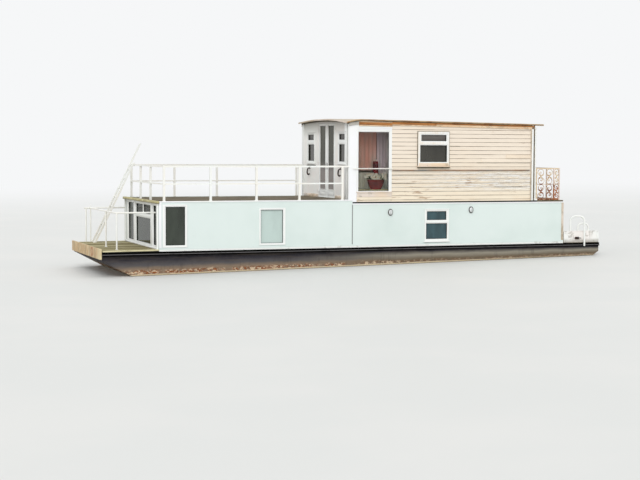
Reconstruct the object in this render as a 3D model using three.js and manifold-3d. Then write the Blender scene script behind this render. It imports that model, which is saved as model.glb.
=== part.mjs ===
// A flat-bottomed steel houseboat with a sunken lower cabin, an upper cabin and a railed roof deck.
// Millimetres, +X towards the stern, +Z up. The origin is under the middle of the hull on its flat bottom.
import * as THREE from "three";
import { mergeVertices } from "three/addons/utils/BufferGeometryUtils.js";
import Module from "manifold-3d";

const wasm = await Module();
wasm.setup();

// Driving dimensions
const HULL_LENGTH = 16150;
const HULL_BEAM = 4170;
const HULL_DEPTH = 1000;
const LOWER_CABIN_FRONT = -6368;
const LOWER_CABIN_BACK = 6760;
const LOWER_WALL_SEAM = -430;
const LOWER_WALL_TOP_BOW = 2435;
const LOWER_WALL_TOP_STERN = 2320;
const UPPER_CABIN_FRONT = -545;
const UPPER_CABIN_BACK = 5650;
const SIDING_START = 840;
const ROOF_EDGE_AT_FRONT = 4842;
const ROOF_EDGE_AT_BACK = 4742;
const WALL = 60;
const GAP = 0.3;
const PAST = 20; // how far a cutting solid runs past what it cuts

// Places worked out from them
const BOW = -HULL_LENGTH / 2;
const STERN = HULL_LENGTH / 2;
const SIDE = HULL_BEAM / 2;
const INSIDE = SIDE - WALL;

// Hull
const FASCIA_THICKNESS = 60;
const FASCIA_BOTTOM = 800;
const FASCIA_TOP = 1100;
const BOW_RAKE_FOOT = -6560;
const STERN_RAKE_TOP = 728;
const STERN_RAKE_FOOT = 6940;
const WELL_FLOOR = 120;
const WELL_FRONT = -6250;
const WELL_BACK = 6640;
const HULL_SIDE_THICKNESS = 90;
const STRAKE_OUT = 60;
const STRAKE_BOTTOM = 900;
const TRANSOM_STRAKE_OUT = 15;
const FOREDECK_TOP = 1050;
const STERN_DECK_TOP = 1040;
const BULWARK_TOP = 1370;
const BULWARK_THICKNESS = 50;
const COAMING_TOP = 1200;

// Decks and roof
const ROOF_DECK_BOTTOM = 2370;
const ROOF_DECK_TOP = 2420;
const UPPER_FLOOR_TOP = 2365;
const UPPER_FLOOR_SIDE = 2060;
const EAVE_FRONT = -6470;
const EAVE_SIDE = 2135;
const EAVE_TOP = 2440;
const ROOF_SIDE = 2165;
const ROOF_FRONT = -645;
const ROOF_BACK = 5970;
const ROOF_THICKNESS = 30;
const ROOF_CAMBER = 40;
const ROOF_FASCIA_DEPTH = 120;
const ROOF_FASCIA_FRONT_DEPTH = 50;
const FASCIA_LOW = 3000;
const FASCIA_HIGH = 6000;
const ROOF_FASCIA_THICKNESS = 20;

// Cladding
const BOARD_PITCH = 125;
const FIRST_BOARD_EDGE = 2424;
const BOARD_BUTT = 14;
const BOARD_TIP = 2;
const BASE_BAND_TOP = 1100;
const BASE_BAND_OUT = 10;

// Windows
const FRAME_DEPTH = 42;
const FRAME_PROUD = 10;
const GLASS_THICKNESS = 8;
const GLASS_MARGIN = 12;

// Doors
const DOOR_CLEARANCE = 6;
const LEAF_MEETING_GAP = 10;
const HINGE_AXIS_OUT = 10;
const HINGE_RADIUS = 9;
const HINGE_PLATE = 32;
const KNUCKLE = 40;
const HINGE_SEAT = 5;
const LEAF_SET_BACK = 5;
const LEAF_THICKNESS = 45;
const LEAF_STILE = 105;
const FRENCH_CENTRE = -180;
const FRENCH_WIDTH = 1450;
const FRENCH_SILL = 2430;
const FRENCH_HEAD = 4745;
const FRENCH_GLASS = { bottom: 2700, top: 4665 };
const FRENCH_HINGES = [2640, 3560, 4520];
const BALCONY_DOOR = { from: -350, to: 430, sill: 2430, head: 4500 };
const BALCONY_DOOR_GLASS = { bottom: 3350, top: 4350 };
const BALCONY_HINGES = [2640, 4280];
const STERN_DOOR = { from: -400, to: 400, sill: 1080, head: 2250 };
const STERN_HINGES = [1260, 2030];

// Rails
const POST = 60;
const TOP_RAIL = 50;
const MID_RAIL = 40;
const RAIL_TOP = 3452;
const RAIL_MIDDLE = 2925;
const RAIL_POSTS = [-6210, -4830, -3440, -2110, -750];
const BOW_RAIL_POSTS = [-450, 814];

const group = new THREE.Group();

// Materials: colour, roughness, metalness
const FINISHES = {
  hull_paint: [0x3b3840, 0.75, 0.2],
  black_paint: [0x17181a, 0.55, 0.2],
  cream_paint: [0xd8ccae, 0.6, 0.0],
  deck_timber: [0xb9a67f, 0.85, 0.0],
  white_paint: [0xe9ecea, 0.5, 0.0],
  mint_panel: [0xdbe8e4, 0.45, 0.0],
  roof_felt: [0x6d6257, 0.9, 0.0],
  cladding: [0xd9c6ab, 0.7, 0.0],
  bare_timber: [0xa5713f, 0.8, 0.0],
  frame_white: [0xf1f2ef, 0.35, 0.0],
  glass: [0x2c3531, 0.08, 0.0],
  rail_white: [0xf3f2ec, 0.45, 0.1],
  rusty_iron: [0xb39a80, 0.8, 0.3],
  pipe_white: [0xe6e6e2, 0.4, 0.0],
};

function closed(geometry) {
  const plain = geometry.index ? geometry.toNonIndexed() : geometry.clone();
  plain.deleteAttribute("normal");
  plain.deleteAttribute("uv");
  const merged = mergeVertices(plain, 0.001);
  const mesh = new wasm.Mesh({
    numProp: 3,
    vertProperties: new Float32Array(merged.attributes.position.array),
    triVerts: new Uint32Array(merged.index.array),
  });
  return new wasm.Manifold(mesh);
}

function add(name, solid, finish) {
  const made = solid.getMesh();
  const geometry = new THREE.BufferGeometry();
  geometry.setAttribute("position", new THREE.BufferAttribute(new Float32Array(made.vertProperties), 3));
  geometry.setIndex(new THREE.BufferAttribute(new Uint32Array(made.triVerts), 1));
  geometry.computeVertexNormals();
  const [color, roughness, metalness] = FINISHES[finish];
  const material = new THREE.MeshStandardMaterial({ color, roughness, metalness });
  const mesh = new THREE.Mesh(geometry, material);
  mesh.name = name;
  group.add(mesh);
}

function join(solids) {
  return solids.reduce((whole, next) => whole.add(next));
}

function box(x0, x1, y0, y1, z0, z1) {
  const geometry = new THREE.BoxGeometry(x1 - x0, y1 - y0, z1 - z0);
  geometry.translate((x0 + x1) / 2, (y0 + y1) / 2, (z0 + z1) / 2);
  return closed(geometry);
}

function extrusion(points, length) {
  const shape = new THREE.Shape(points.map(([u, v]) => new THREE.Vector2(u, v)));
  return new THREE.ExtrudeGeometry(shape, { depth: length, bevelEnabled: false, steps: 1 });
}

// An outline of [x, z] points, from one y to another
function acrossBeam(points, y0, y1) {
  const geometry = extrusion(points, y1 - y0);
  geometry.rotateX(Math.PI / 2);
  geometry.translate(0, y1, 0);
  return closed(geometry);
}

// An outline of [y, z] points, from one x to another
function alongHull(points, x0, x1) {
  const geometry = extrusion(points, x1 - x0);
  geometry.rotateX(Math.PI / 2);
  geometry.rotateZ(Math.PI / 2);
  geometry.translate(x0, 0, 0);
  return closed(geometry);
}

// An outline of [x, y] points, from one z to another
function upright(points, z0, z1) {
  const geometry = extrusion(points, z1 - z0);
  geometry.translate(0, 0, z0);
  return closed(geometry);
}

function tube(path, diameter, steps, sides = 10) {
  const section = new THREE.Shape();
  for (let i = 0; i < sides; i += 1) {
    const angle = (2 * Math.PI * i) / sides;
    const point = [(Math.cos(angle) * diameter) / 2, (Math.sin(angle) * diameter) / 2];
    if (i === 0) section.moveTo(...point);
    else section.lineTo(...point);
  }
  section.closePath();
  const options = { steps, bevelEnabled: false, extrudePath: path };
  return closed(new THREE.ExtrudeGeometry(section, options));
}

function rod(from, to, diameter, sides = 10) {
  const path = new THREE.LineCurve3(new THREE.Vector3(...from), new THREE.Vector3(...to));
  return tube(path, diameter, 1, sides);
}

// A path of straight runs with rounded corners, through the given [x, y, z] points
function roundedPath(points, radius) {
  const corners = points.map((point) => new THREE.Vector3(...point));
  const path = new THREE.CurvePath();
  let start = corners[0];
  for (let i = 1; i < corners.length - 1; i += 1) {
    const corner = corners[i];
    const back = start.clone().sub(corner).setLength(radius);
    const ahead = corners[i + 1].clone().sub(corner).setLength(radius);
    const enter = corner.clone().add(back);
    const leave = corner.clone().add(ahead);
    path.add(new THREE.LineCurve3(start, enter));
    path.add(new THREE.QuadraticBezierCurve3(enter, corner, leave));
    start = leave;
  }
  path.add(new THREE.LineCurve3(start, corners[corners.length - 1]));
  return path;
}

// Height of the roof's lower face at a place: it falls towards the stern and arches across the beam
const ROOF_FALL = (ROOF_EDGE_AT_BACK - ROOF_EDGE_AT_FRONT) / (ROOF_BACK - ROOF_FRONT);
const CAMBER_STATIONS = [-1, -0.6, -0.25, 0.25, 0.6, 1];

// The weathered sheet's two front corners droop, by these heights, and this far back
const CORNER_DROOP = { near: 90, far: 45 };
const DROOP_BACK = -200;
const DROOP_SECTIONS = [ROOF_FRONT, -490, -340, DROOP_BACK];
const PAST_ROOF = 500;

function roofOutline(bottomDrop, topDrop) {
  const lower = CAMBER_STATIONS.map((t) => [t * ROOF_SIDE, ROOF_CAMBER * (1 - t * t) - bottomDrop]);
  const upper = CAMBER_STATIONS.map((t) => [t * ROOF_SIDE, ROOF_CAMBER * (1 - t * t) - topDrop]);
  return [...lower, ...upper.reverse()];
}

function roofHeight(x, y) {
  const corner = y < 0 ? CORNER_DROOP.near : CORNER_DROOP.far;
  const share = Math.min(1, Math.max(0, (DROOP_BACK - x) / (DROOP_BACK - ROOF_FRONT)));
  const droop = corner * share ** 1.5 * (y / ROOF_SIDE) ** 2;
  return ROOF_EDGE_AT_FRONT + ROOF_FALL * (x - ROOF_FRONT) - droop;
}

// A roof outline from one x to another, in spans that follow the fall and the droop
function shapedAsRoof(outline, x0, x1) {
  const places = [x0, ...DROOP_SECTIONS.filter((x) => x > x0), x1];
  const spans = places.slice(1).map((end, i) =>
    alongHull(outline, places[i], end).warp((vertex) => {
      vertex[2] += roofHeight(vertex[0], vertex[1]);
    }),
  );
  return join(spans);
}

// The space between two drops from the roof's top, a negative drop being above it
function roofBand(topDrop, bottomDrop) {
  return shapedAsRoof(roofOutline(bottomDrop, topDrop), ROOF_FRONT - PAST_ROOF, ROOF_BACK + PAST_ROOF);
}

const UNDERSIDE = ROOF_THICKNESS + GAP;
const aboveWalls = roofBand(-PAST_ROOF, UNDERSIDE);

// Hull: a raked tub with a sunken well for the lower cabin
function makeHull() {
  const bowFace = BOW + FASCIA_THICKNESS + GAP;
  const sternFace = STERN - TRANSOM_STRAKE_OUT - GAP;
  const rake = FASCIA_BOTTOM / (BOW_RAKE_FOOT - BOW);
  const profile = [
    [BOW_RAKE_FOOT, 0],
    [STERN_RAKE_FOOT, 0],
    [sternFace, STERN_RAKE_TOP],
    [sternFace, HULL_DEPTH],
    [bowFace, HULL_DEPTH],
    [bowFace, FASCIA_BOTTOM - rake * (bowFace - BOW)],
  ];
  const body = acrossBeam(profile, -SIDE, SIDE);
  const wellSide = SIDE - HULL_SIDE_THICKNESS;
  const well = box(WELL_FRONT, WELL_BACK, -wellSide, wellSide, WELL_FLOOR, HULL_DEPTH + PAST);
  add("hull", body.subtract(well), "hull_paint");
}

function makeStrake() {
  const outer = SIDE + STRAKE_OUT;
  const inner = SIDE + GAP;
  const start = BOW + FASCIA_THICKNESS + GAP;
  const ring = [
    box(start, STERN, -outer, -inner, STRAKE_BOTTOM, HULL_DEPTH),
    box(start, STERN, inner, outer, STRAKE_BOTTOM, HULL_DEPTH),
    box(STERN - TRANSOM_STRAKE_OUT, STERN, -outer, outer, STRAKE_BOTTOM, HULL_DEPTH),
  ];
  add("rubbing_strake", join(ring), "black_paint");
}

function makeDecks() {
  const deckFront = BOW + FASCIA_THICKNESS + GAP;
  add("bow_fascia", box(BOW, BOW + FASCIA_THICKNESS, -SIDE, SIDE, FASCIA_BOTTOM, FASCIA_TOP), "cream_paint");
  const foredeck = box(deckFront, LOWER_CABIN_FRONT - GAP, -SIDE, SIDE, HULL_DEPTH + GAP, FOREDECK_TOP);
  add("foredeck", foredeck, "deck_timber");
  const inset = SIDE - BULWARK_THICKNESS - GAP;
  const deckStart = LOWER_CABIN_BACK + GAP;
  const deckEnd = STERN - TRANSOM_STRAKE_OUT - BULWARK_THICKNESS - 2 * GAP;
  const sternDeck = box(deckStart, deckEnd, -inset, inset, HULL_DEPTH + GAP, STERN_DECK_TOP);
  add("stern_deck", sternDeck, "deck_timber");
  const back = STERN - TRANSOM_STRAKE_OUT - GAP;
  const outside = box(deckStart, back, -SIDE, SIDE, HULL_DEPTH + GAP, COAMING_TOP);
  const innerSide = SIDE - BULWARK_THICKNESS;
  const hollow = box(
    deckStart - PAST,
    back - BULWARK_THICKNESS,
    -innerSide,
    innerSide,
    HULL_DEPTH - PAST,
    COAMING_TOP + PAST,
  );
  const nearPlate = box(deckStart, back, -SIDE, -innerSide, HULL_DEPTH + GAP, BULWARK_TOP);
  add("stern_bulwark", outside.subtract(hollow).add(nearPlate), "white_paint");
}

// Windows: name, wall they are in, outer size along the wall and in height, and their panes
const WINDOWS = [
  {
    name: "lower_window_bow", wall: "near", from: -6260, to: -5539, bottom: 1108, top: 2339,
    panes: [[-6172, -5601, 1169, 2275]],
  },
  {
    name: "lower_window_middle", wall: "near", from: -3364, to: -2558, bottom: 1126, top: 2215,
    panes: [[-3312, -2630, 1181, 2159]],
  },
  {
    name: "lower_window_stern", wall: "near", from: 1940, to: 2748, bottom: 1144, top: 2128,
    panes: [[1991, 2693, 1213, 1690], [2014, 2667, 1792, 2060]],
  },
  {
    name: "upper_window_large", wall: "near", from: -310, to: 820, bottom: 2560, top: 4520,
    panes: [[-250, 735, 2693, 4460]],
  },
  {
    name: "upper_window_side", wall: "near", from: 1690, to: 2733, bottom: 3441, top: 4483,
    panes: [[1767, 2660, 3563, 4075], [1800, 2640, 4200, 4390]],
  },
  {
    name: "front_window_near", wall: "front", from: -1880, to: -1200, bottom: 3500, top: 4470,
    panes: [[-1815, -1265, 3570, 4090], [-1755, -1265, 4230, 4400]],
  },
  {
    name: "front_window_far", wall: "front", from: 855, to: 1535, bottom: 3500, top: 4470,
    panes: [[915, 1475, 3570, 4090], [960, 1455, 4230, 4400]],
  },
];

const NEAR_FACE = -SIDE;

function windowBlock(item, from, to, bottom, top, depthFrom, depthTo) {
  if (item.wall === "near") {
    return box(from, to, NEAR_FACE + depthFrom, NEAR_FACE + depthTo, bottom, top);
  }
  return box(UPPER_CABIN_FRONT + depthFrom, UPPER_CABIN_FRONT + depthTo, from, to, bottom, top);
}

function windowCut(item) {
  const { from, to, bottom, top } = item;
  return windowBlock(item, from - GAP, to + GAP, bottom - GAP, top + GAP, -PAST, WALL + PAST);
}

function makeWindow(item) {
  const back = FRAME_DEPTH - FRAME_PROUD;
  let frame = windowBlock(item, item.from, item.to, item.bottom, item.top, -FRAME_PROUD - BOARD_BUTT, back);
  item.panes.forEach(([from, to, bottom, top]) => {
    frame = frame.subtract(windowBlock(item, from, to, bottom, top, -100, 200));
  });
  add(`${item.name}_frame`, frame, "frame_white");
  const pane = windowBlock(
    item,
    item.from + GLASS_MARGIN,
    item.to - GLASS_MARGIN,
    item.bottom + GLASS_MARGIN,
    item.top - GLASS_MARGIN,
    back + GAP,
    back + GAP + GLASS_THICKNESS,
  );
  add(`${item.name}_glass`, pane, "glass");
}

function cutWindows(wall, side) {
  const inThisWall = WINDOWS.filter((item) => item.wall === side);
  return inThisWall.reduce((left, item) => left.subtract(windowCut(item)), wall);
}

// Far side windows: place along the hull, size and height, cut in the far walls with their glass
const FAR_WINDOWS = [
  { name: "far_window_bow", from: -3364, to: -2558, bottom: 1126, top: 2215, lower: true },
  { name: "far_window_stern", from: 1940, to: 2748, bottom: 1144, top: 2128, lower: true },
  { name: "far_window_upper", from: 1690, to: 2733, bottom: 3441, top: 4483, lower: false },
];

function cutFarWindows(wall, lower) {
  const inThisWall = FAR_WINDOWS.filter((item) => item.lower === lower);
  return inThisWall.reduce((left, { from, to, bottom, top }) => {
    return left.subtract(box(from, to, SIDE - WALL - PAST, SIDE + PAST, bottom, top));
  }, wall);
}

function makeFarGlass() {
  FAR_WINDOWS.forEach(({ name, from, to, bottom, top }) => {
    const middle = SIDE - WALL / 2;
    const pane = box(
      from + GAP,
      to - GAP,
      middle - GLASS_THICKNESS / 2,
      middle + GLASS_THICKNESS / 2,
      bottom + GAP,
      top - GAP,
    );
    add(`${name}_glass`, pane, "glass");
  });
}

// Hinges: a leaf's knuckles turn between the wall's knuckles on one upright pin line.
// face is the wall's outer x, out the way it looks, y the jamb, inward the way from the jamb to the leaf.
function hingeStack(face, out, y, inward, heights, seat, isLeaf) {
  const axis = face + out * HINGE_AXIS_OUT;
  const pieces = [];
  heights.forEach((z) => {
    const levels = isLeaf ? [z] : [z - KNUCKLE - GAP, z + KNUCKLE + GAP];
    levels.forEach((level) => {
      const low = level - KNUCKLE / 2;
      const high = level + KNUCKLE / 2;
      const side = isLeaf ? inward : -inward;
      const outer = axis + out * 4;
      const inner = face - out * (seat + HINGE_SEAT);
      const [x0, x1] = [Math.min(outer, inner), Math.max(outer, inner)];
      const [y0, y1] = [Math.min(y, y + side * HINGE_PLATE), Math.max(y, y + side * HINGE_PLATE)];
      pieces.push(box(x0, x1, y0, y1, low, high));
      pieces.push(rod([axis, y, low], [axis, y, high], 2 * HINGE_RADIUS, 12));
    });
  });
  return join(pieces);
}

function wallHinges(face, out, y, inward, heights) {
  return hingeStack(face, out, y, inward, heights, 0, false);
}

function leafHinges(face, out, y, inward, heights) {
  return hingeStack(face, out, y, inward, heights, LEAF_SET_BACK, true);
}

// Lower cabin walls, with a base band that stands proud of the panels
function lowerWall(from, to, top, side) {
  const outer = SIDE;
  const section = [
    [outer - WALL, HULL_DEPTH + GAP],
    [outer + BASE_BAND_OUT, HULL_DEPTH + GAP],
    [outer + BASE_BAND_OUT, BASE_BAND_TOP],
    [outer, BASE_BAND_TOP],
    [outer, top],
    [outer - WALL, top],
  ].map(([y, z]) => [side * y, z]);
  return alongHull(side > 0 ? section : section.reverse(), from, to);
}

function makeLowerWalls() {
  const seam = LOWER_WALL_SEAM;
  const nearBow = lowerWall(LOWER_CABIN_FRONT, seam - GAP, LOWER_WALL_TOP_BOW, -1);
  add("lower_wall_near_bow", cutWindows(nearBow, "near"), "mint_panel");
  const nearStern = lowerWall(seam, LOWER_CABIN_BACK, LOWER_WALL_TOP_STERN, -1);
  add("lower_wall_near_stern", cutWindows(nearStern, "near"), "mint_panel");
  const far = join([
    lowerWall(LOWER_CABIN_FRONT, seam, LOWER_WALL_TOP_BOW, 1),
    lowerWall(seam - PAST, LOWER_CABIN_BACK, LOWER_WALL_TOP_STERN, 1),
  ]);
  add("lower_wall_far", cutFarWindows(far, true), "mint_panel");
  const limit = INSIDE - GAP;
  const sternWall = box(
    LOWER_CABIN_BACK - WALL,
    LOWER_CABIN_BACK,
    -limit,
    limit,
    HULL_DEPTH + GAP,
    LOWER_WALL_TOP_STERN,
  );
  const { from, to, sill, head } = STERN_DOOR;
  const doorway = box(LOWER_CABIN_BACK - WALL - PAST, LOWER_CABIN_BACK + PAST, from, to, sill, head);
  const knuckles = wallHinges(LOWER_CABIN_BACK, 1, from, 1, STERN_HINGES);
  add("lower_wall_stern", sternWall.subtract(doorway).add(knuckles), "mint_panel");
}

// Bow screen: panes from the far side to the near side, each [y from, y to, z bottom, z top]
const SCREEN_PANES = [
  [1150, 1845, 1150, 2290],
  [-1010, 815, 1150, 1890],
  [-60, 815, 2015, 2285],
  [-1010, -150, 2015, 2285],
  [-1725, -1365, 1150, 2290],
];
const SCREEN_DEPTH = 50;

function makeBowScreen() {
  const limit = INSIDE - GAP;
  const back = LOWER_CABIN_FRONT + SCREEN_DEPTH;
  let frame = box(LOWER_CABIN_FRONT, back, -limit, limit, HULL_DEPTH + GAP, ROOF_DECK_BOTTOM - GAP);
  SCREEN_PANES.forEach(([y0, y1, z0, z1]) => {
    frame = frame.subtract(box(LOWER_CABIN_FRONT - PAST, back + PAST, y0, y1, z0, z1));
  });
  add("bow_screen_frame", frame, "frame_white");
  const glassEdge = limit - GLASS_MARGIN;
  const glassBack = back + GAP + GLASS_THICKNESS;
  const bottom = HULL_DEPTH + GAP + GLASS_MARGIN;
  const top = ROOF_DECK_BOTTOM - GAP - GLASS_MARGIN;
  add("bow_screen_glass", box(back + GAP, glassBack, -glassEdge, glassEdge, bottom, top), "glass");
  const eave = box(EAVE_FRONT, LOWER_CABIN_FRONT - GAP, -EAVE_SIDE, EAVE_SIDE, ROOF_DECK_BOTTOM, EAVE_TOP);
  const posts = [-1, 1].map((side) => {
    const y0 = Math.min(side * SIDE, side * (SIDE - EAVE_POST));
    const x0 = EAVE_POST_FRONT;
    return box(x0, x0 + EAVE_POST, y0, y0 + EAVE_POST, FOREDECK_TOP + GAP, ROOF_DECK_BOTTOM + PAST);
  });
  add("bow_eave", join([eave, ...posts]), "cream_paint");
}

function makeRoofDeck() {
  const limit = INSIDE - GAP;
  const bowSlab = box(
    LOWER_CABIN_FRONT,
    UPPER_CABIN_FRONT - GAP,
    -limit,
    limit,
    ROOF_DECK_BOTTOM,
    ROOF_DECK_TOP,
  );
  add("roof_deck", bowSlab, "roof_felt");
  const step = LOWER_WALL_SEAM + GAP;
  const outline = [
    [UPPER_CABIN_FRONT, -limit],
    [step, -limit],
    [step, -UPPER_FLOOR_SIDE],
    [LOWER_CABIN_BACK, -UPPER_FLOOR_SIDE],
    [LOWER_CABIN_BACK, UPPER_FLOOR_SIDE],
    [step, UPPER_FLOOR_SIDE],
    [step, limit],
    [UPPER_CABIN_FRONT, limit],
  ];
  add("upper_floor", upright(outline, LOWER_WALL_TOP_STERN + GAP, UPPER_FLOOR_TOP), "roof_felt");
}

// Horizontal boards: each is thick at its lower edge and thin where the next one laps it
function boardedWall(from, to, side) {
  const bottom = UPPER_FLOOR_TOP + GAP;
  const top = ROOF_EDGE_AT_FRONT + ROOF_CAMBER;
  const outline = [[SIDE - WALL, bottom]];
  for (let edge = FIRST_BOARD_EDGE - BOARD_PITCH; edge < top; edge += BOARD_PITCH) {
    const start = Math.max(edge, bottom);
    const share = (start - edge) / BOARD_PITCH;
    outline.push([SIDE + BOARD_BUTT + (BOARD_TIP - BOARD_BUTT) * share, start]);
    outline.push([SIDE + BOARD_TIP, edge + BOARD_PITCH]);
  }
  outline.push([SIDE - WALL, outline[outline.length - 1][1]]);
  const turned = outline.map(([y, z]) => [side * y, z]);
  return alongHull(side > 0 ? turned : turned.reverse(), from, to).subtract(aboveWalls);
}

function makeUpperWalls() {
  const bottom = UPPER_FLOOR_TOP + GAP;
  const top = ROOF_EDGE_AT_FRONT + ROOF_CAMBER;
  const notch = LOWER_WALL_SEAM;
  const panelOutline = [
    [UPPER_CABIN_FRONT, LOWER_WALL_TOP_BOW + GAP],
    [notch, LOWER_WALL_TOP_BOW + GAP],
    [notch, bottom],
    [SIDING_START - GAP, bottom],
    [SIDING_START - GAP, top],
    [UPPER_CABIN_FRONT, top],
  ];
  const panel = acrossBeam(panelOutline, -SIDE, -INSIDE).subtract(aboveWalls);
  add("upper_wall_near_panel", cutWindows(panel, "near"), "white_paint");
  const siding = boardedWall(SIDING_START, UPPER_CABIN_BACK, -1);
  add("upper_wall_near_siding", cutWindows(siding, "near"), "cladding");
  const step = box(
    UPPER_CABIN_FRONT - PAST,
    notch,
    INSIDE - PAST,
    SIDE + PAST,
    bottom - PAST,
    LOWER_WALL_TOP_BOW + GAP,
  );
  const far = boardedWall(UPPER_CABIN_FRONT, UPPER_CABIN_BACK, 1).subtract(step);
  add("upper_wall_far", cutFarWindows(far, false), "cladding");

  const limit = INSIDE - GAP;
  const frontBack = UPPER_CABIN_FRONT + WALL;
  const front = box(UPPER_CABIN_FRONT, frontBack, -limit, limit, bottom, top).subtract(aboveWalls);
  const half = FRENCH_WIDTH / 2;
  const frenchGap = box(
    UPPER_CABIN_FRONT - PAST,
    frontBack + PAST,
    FRENCH_CENTRE - half,
    FRENCH_CENTRE + half,
    FRENCH_SILL,
    FRENCH_HEAD,
  );
  const frenchKnuckles = join([
    wallHinges(UPPER_CABIN_FRONT, -1, FRENCH_CENTRE - half, 1, FRENCH_HINGES),
    wallHinges(UPPER_CABIN_FRONT, -1, FRENCH_CENTRE + half, -1, FRENCH_HINGES),
  ]);
  const glazedFront = cutWindows(front.subtract(frenchGap), "front").add(frenchKnuckles);
  add("upper_wall_front", glazedFront, "white_paint");
  const backInside = UPPER_CABIN_BACK - WALL;
  const back = box(backInside, UPPER_CABIN_BACK, -limit, limit, bottom, top).subtract(aboveWalls);
  const { from, to, sill, head } = BALCONY_DOOR;
  const balconyGap = box(backInside - PAST, UPPER_CABIN_BACK + PAST, from, to, sill, head);
  const backKnuckles = wallHinges(UPPER_CABIN_BACK, 1, from, 1, BALCONY_HINGES);
  add("upper_wall_back", back.subtract(balconyGap).add(backKnuckles), "cladding");
}

function makeRoof() {
  add("upper_roof", shapedAsRoof(roofOutline(ROOF_THICKNESS, 0), ROOF_FRONT, ROOF_BACK), "cream_paint");
  const out = SIDE + BOARD_BUTT + GAP;
  const frontInner = UPPER_CABIN_FRONT - GAP;
  const backInner = UPPER_CABIN_BACK + GAP;
  const thick = ROOF_FASCIA_THICKNESS;
  const outerSide = out + thick;
  const outer = box(frontInner - thick, backInner + thick, -outerSide, outerSide, FASCIA_LOW, FASCIA_HIGH);
  const inner = box(frontInner, backInner, -out, out, FASCIA_LOW - PAST, FASCIA_HIGH + PAST);
  const aboveLeaves = box(frontInner - thick - PAST, frontInner, -out, out, FASCIA_LOW, FASCIA_HIGH);
  const ring = outer.subtract(inner);
  const deep = ring.subtract(aboveLeaves).intersect(roofBand(0, UNDERSIDE + ROOF_FASCIA_DEPTH));
  const shallow = ring.intersect(roofBand(0, UNDERSIDE + ROOF_FASCIA_FRONT_DEPTH));
  add("roof_fascia", deep.add(shallow).subtract(aboveWalls), "bare_timber");
}

function makeFrenchDoors() {
  const half = FRENCH_WIDTH / 2;
  const front = UPPER_CABIN_FRONT + LEAF_SET_BACK;
  const back = front + LEAF_THICKNESS;
  const leaves = [
    {
      name: "near", jamb: FRENCH_CENTRE - half, inward: 1,
      from: FRENCH_CENTRE - half + DOOR_CLEARANCE, to: FRENCH_CENTRE - LEAF_MEETING_GAP / 2,
    },
    {
      name: "far", jamb: FRENCH_CENTRE + half, inward: -1,
      from: FRENCH_CENTRE + LEAF_MEETING_GAP / 2, to: FRENCH_CENTRE + half - DOOR_CLEARANCE,
    },
  ];
  leaves.forEach(({ name, from, to, jamb, inward }) => {
    const y0 = from + LEAF_STILE;
    const y1 = to - LEAF_STILE;
    const leaf = box(front, back, from, to, FRENCH_SILL + DOOR_CLEARANCE, FRENCH_HEAD - DOOR_CLEARANCE);
    const light = box(front - PAST, back + PAST, y0, y1, FRENCH_GLASS.bottom, FRENCH_GLASS.top);
    const knuckles = leafHinges(UPPER_CABIN_FRONT, -1, jamb, inward, FRENCH_HINGES);
    add(`french_door_${name}`, leaf.subtract(light).add(knuckles), "frame_white");
    const middle = (front + back) / 2;
    const pane = box(
      middle - GLASS_THICKNESS / 2,
      middle + GLASS_THICKNESS / 2,
      y0 + GAP,
      y1 - GAP,
      FRENCH_GLASS.bottom + GAP,
      FRENCH_GLASS.top - GAP,
    );
    add(`french_glass_${name}`, pane, "glass");
  });
}

function makeBackDoors() {
  const upper = BALCONY_DOOR;
  const upperOuter = UPPER_CABIN_BACK - LEAF_SET_BACK;
  const leaf = box(
    upperOuter - LEAF_THICKNESS,
    upperOuter,
    upper.from + DOOR_CLEARANCE,
    upper.to - DOOR_CLEARANCE,
    upper.sill + DOOR_CLEARANCE,
    upper.head - DOOR_CLEARANCE,
  );
  const y0 = upper.from + DOOR_CLEARANCE + LEAF_STILE;
  const y1 = upper.to - DOOR_CLEARANCE - LEAF_STILE;
  const { bottom, top } = BALCONY_DOOR_GLASS;
  const light = box(upperOuter - LEAF_THICKNESS - PAST, upperOuter + PAST, y0, y1, bottom, top);
  const knuckles = leafHinges(UPPER_CABIN_BACK, 1, upper.from, 1, BALCONY_HINGES);
  add("balcony_door", leaf.subtract(light).add(knuckles), "frame_white");
  const middle = upperOuter - LEAF_THICKNESS / 2;
  const pane = box(
    middle - GLASS_THICKNESS / 2,
    middle + GLASS_THICKNESS / 2,
    y0 + GAP,
    y1 - GAP,
    bottom + GAP,
    top - GAP,
  );
  add("balcony_door_glass", pane, "glass");
  const lower = STERN_DOOR;
  const lowerOuter = LOWER_CABIN_BACK - LEAF_SET_BACK;
  const hatch = box(
    lowerOuter - LEAF_THICKNESS,
    lowerOuter,
    lower.from + DOOR_CLEARANCE,
    lower.to - DOOR_CLEARANCE,
    lower.sill + DOOR_CLEARANCE,
    lower.head - DOOR_CLEARANCE,
  );
  add("stern_door", hatch.add(leafHinges(LOWER_CABIN_BACK, 1, lower.from, 1, STERN_HINGES)), "white_paint");
}

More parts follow.
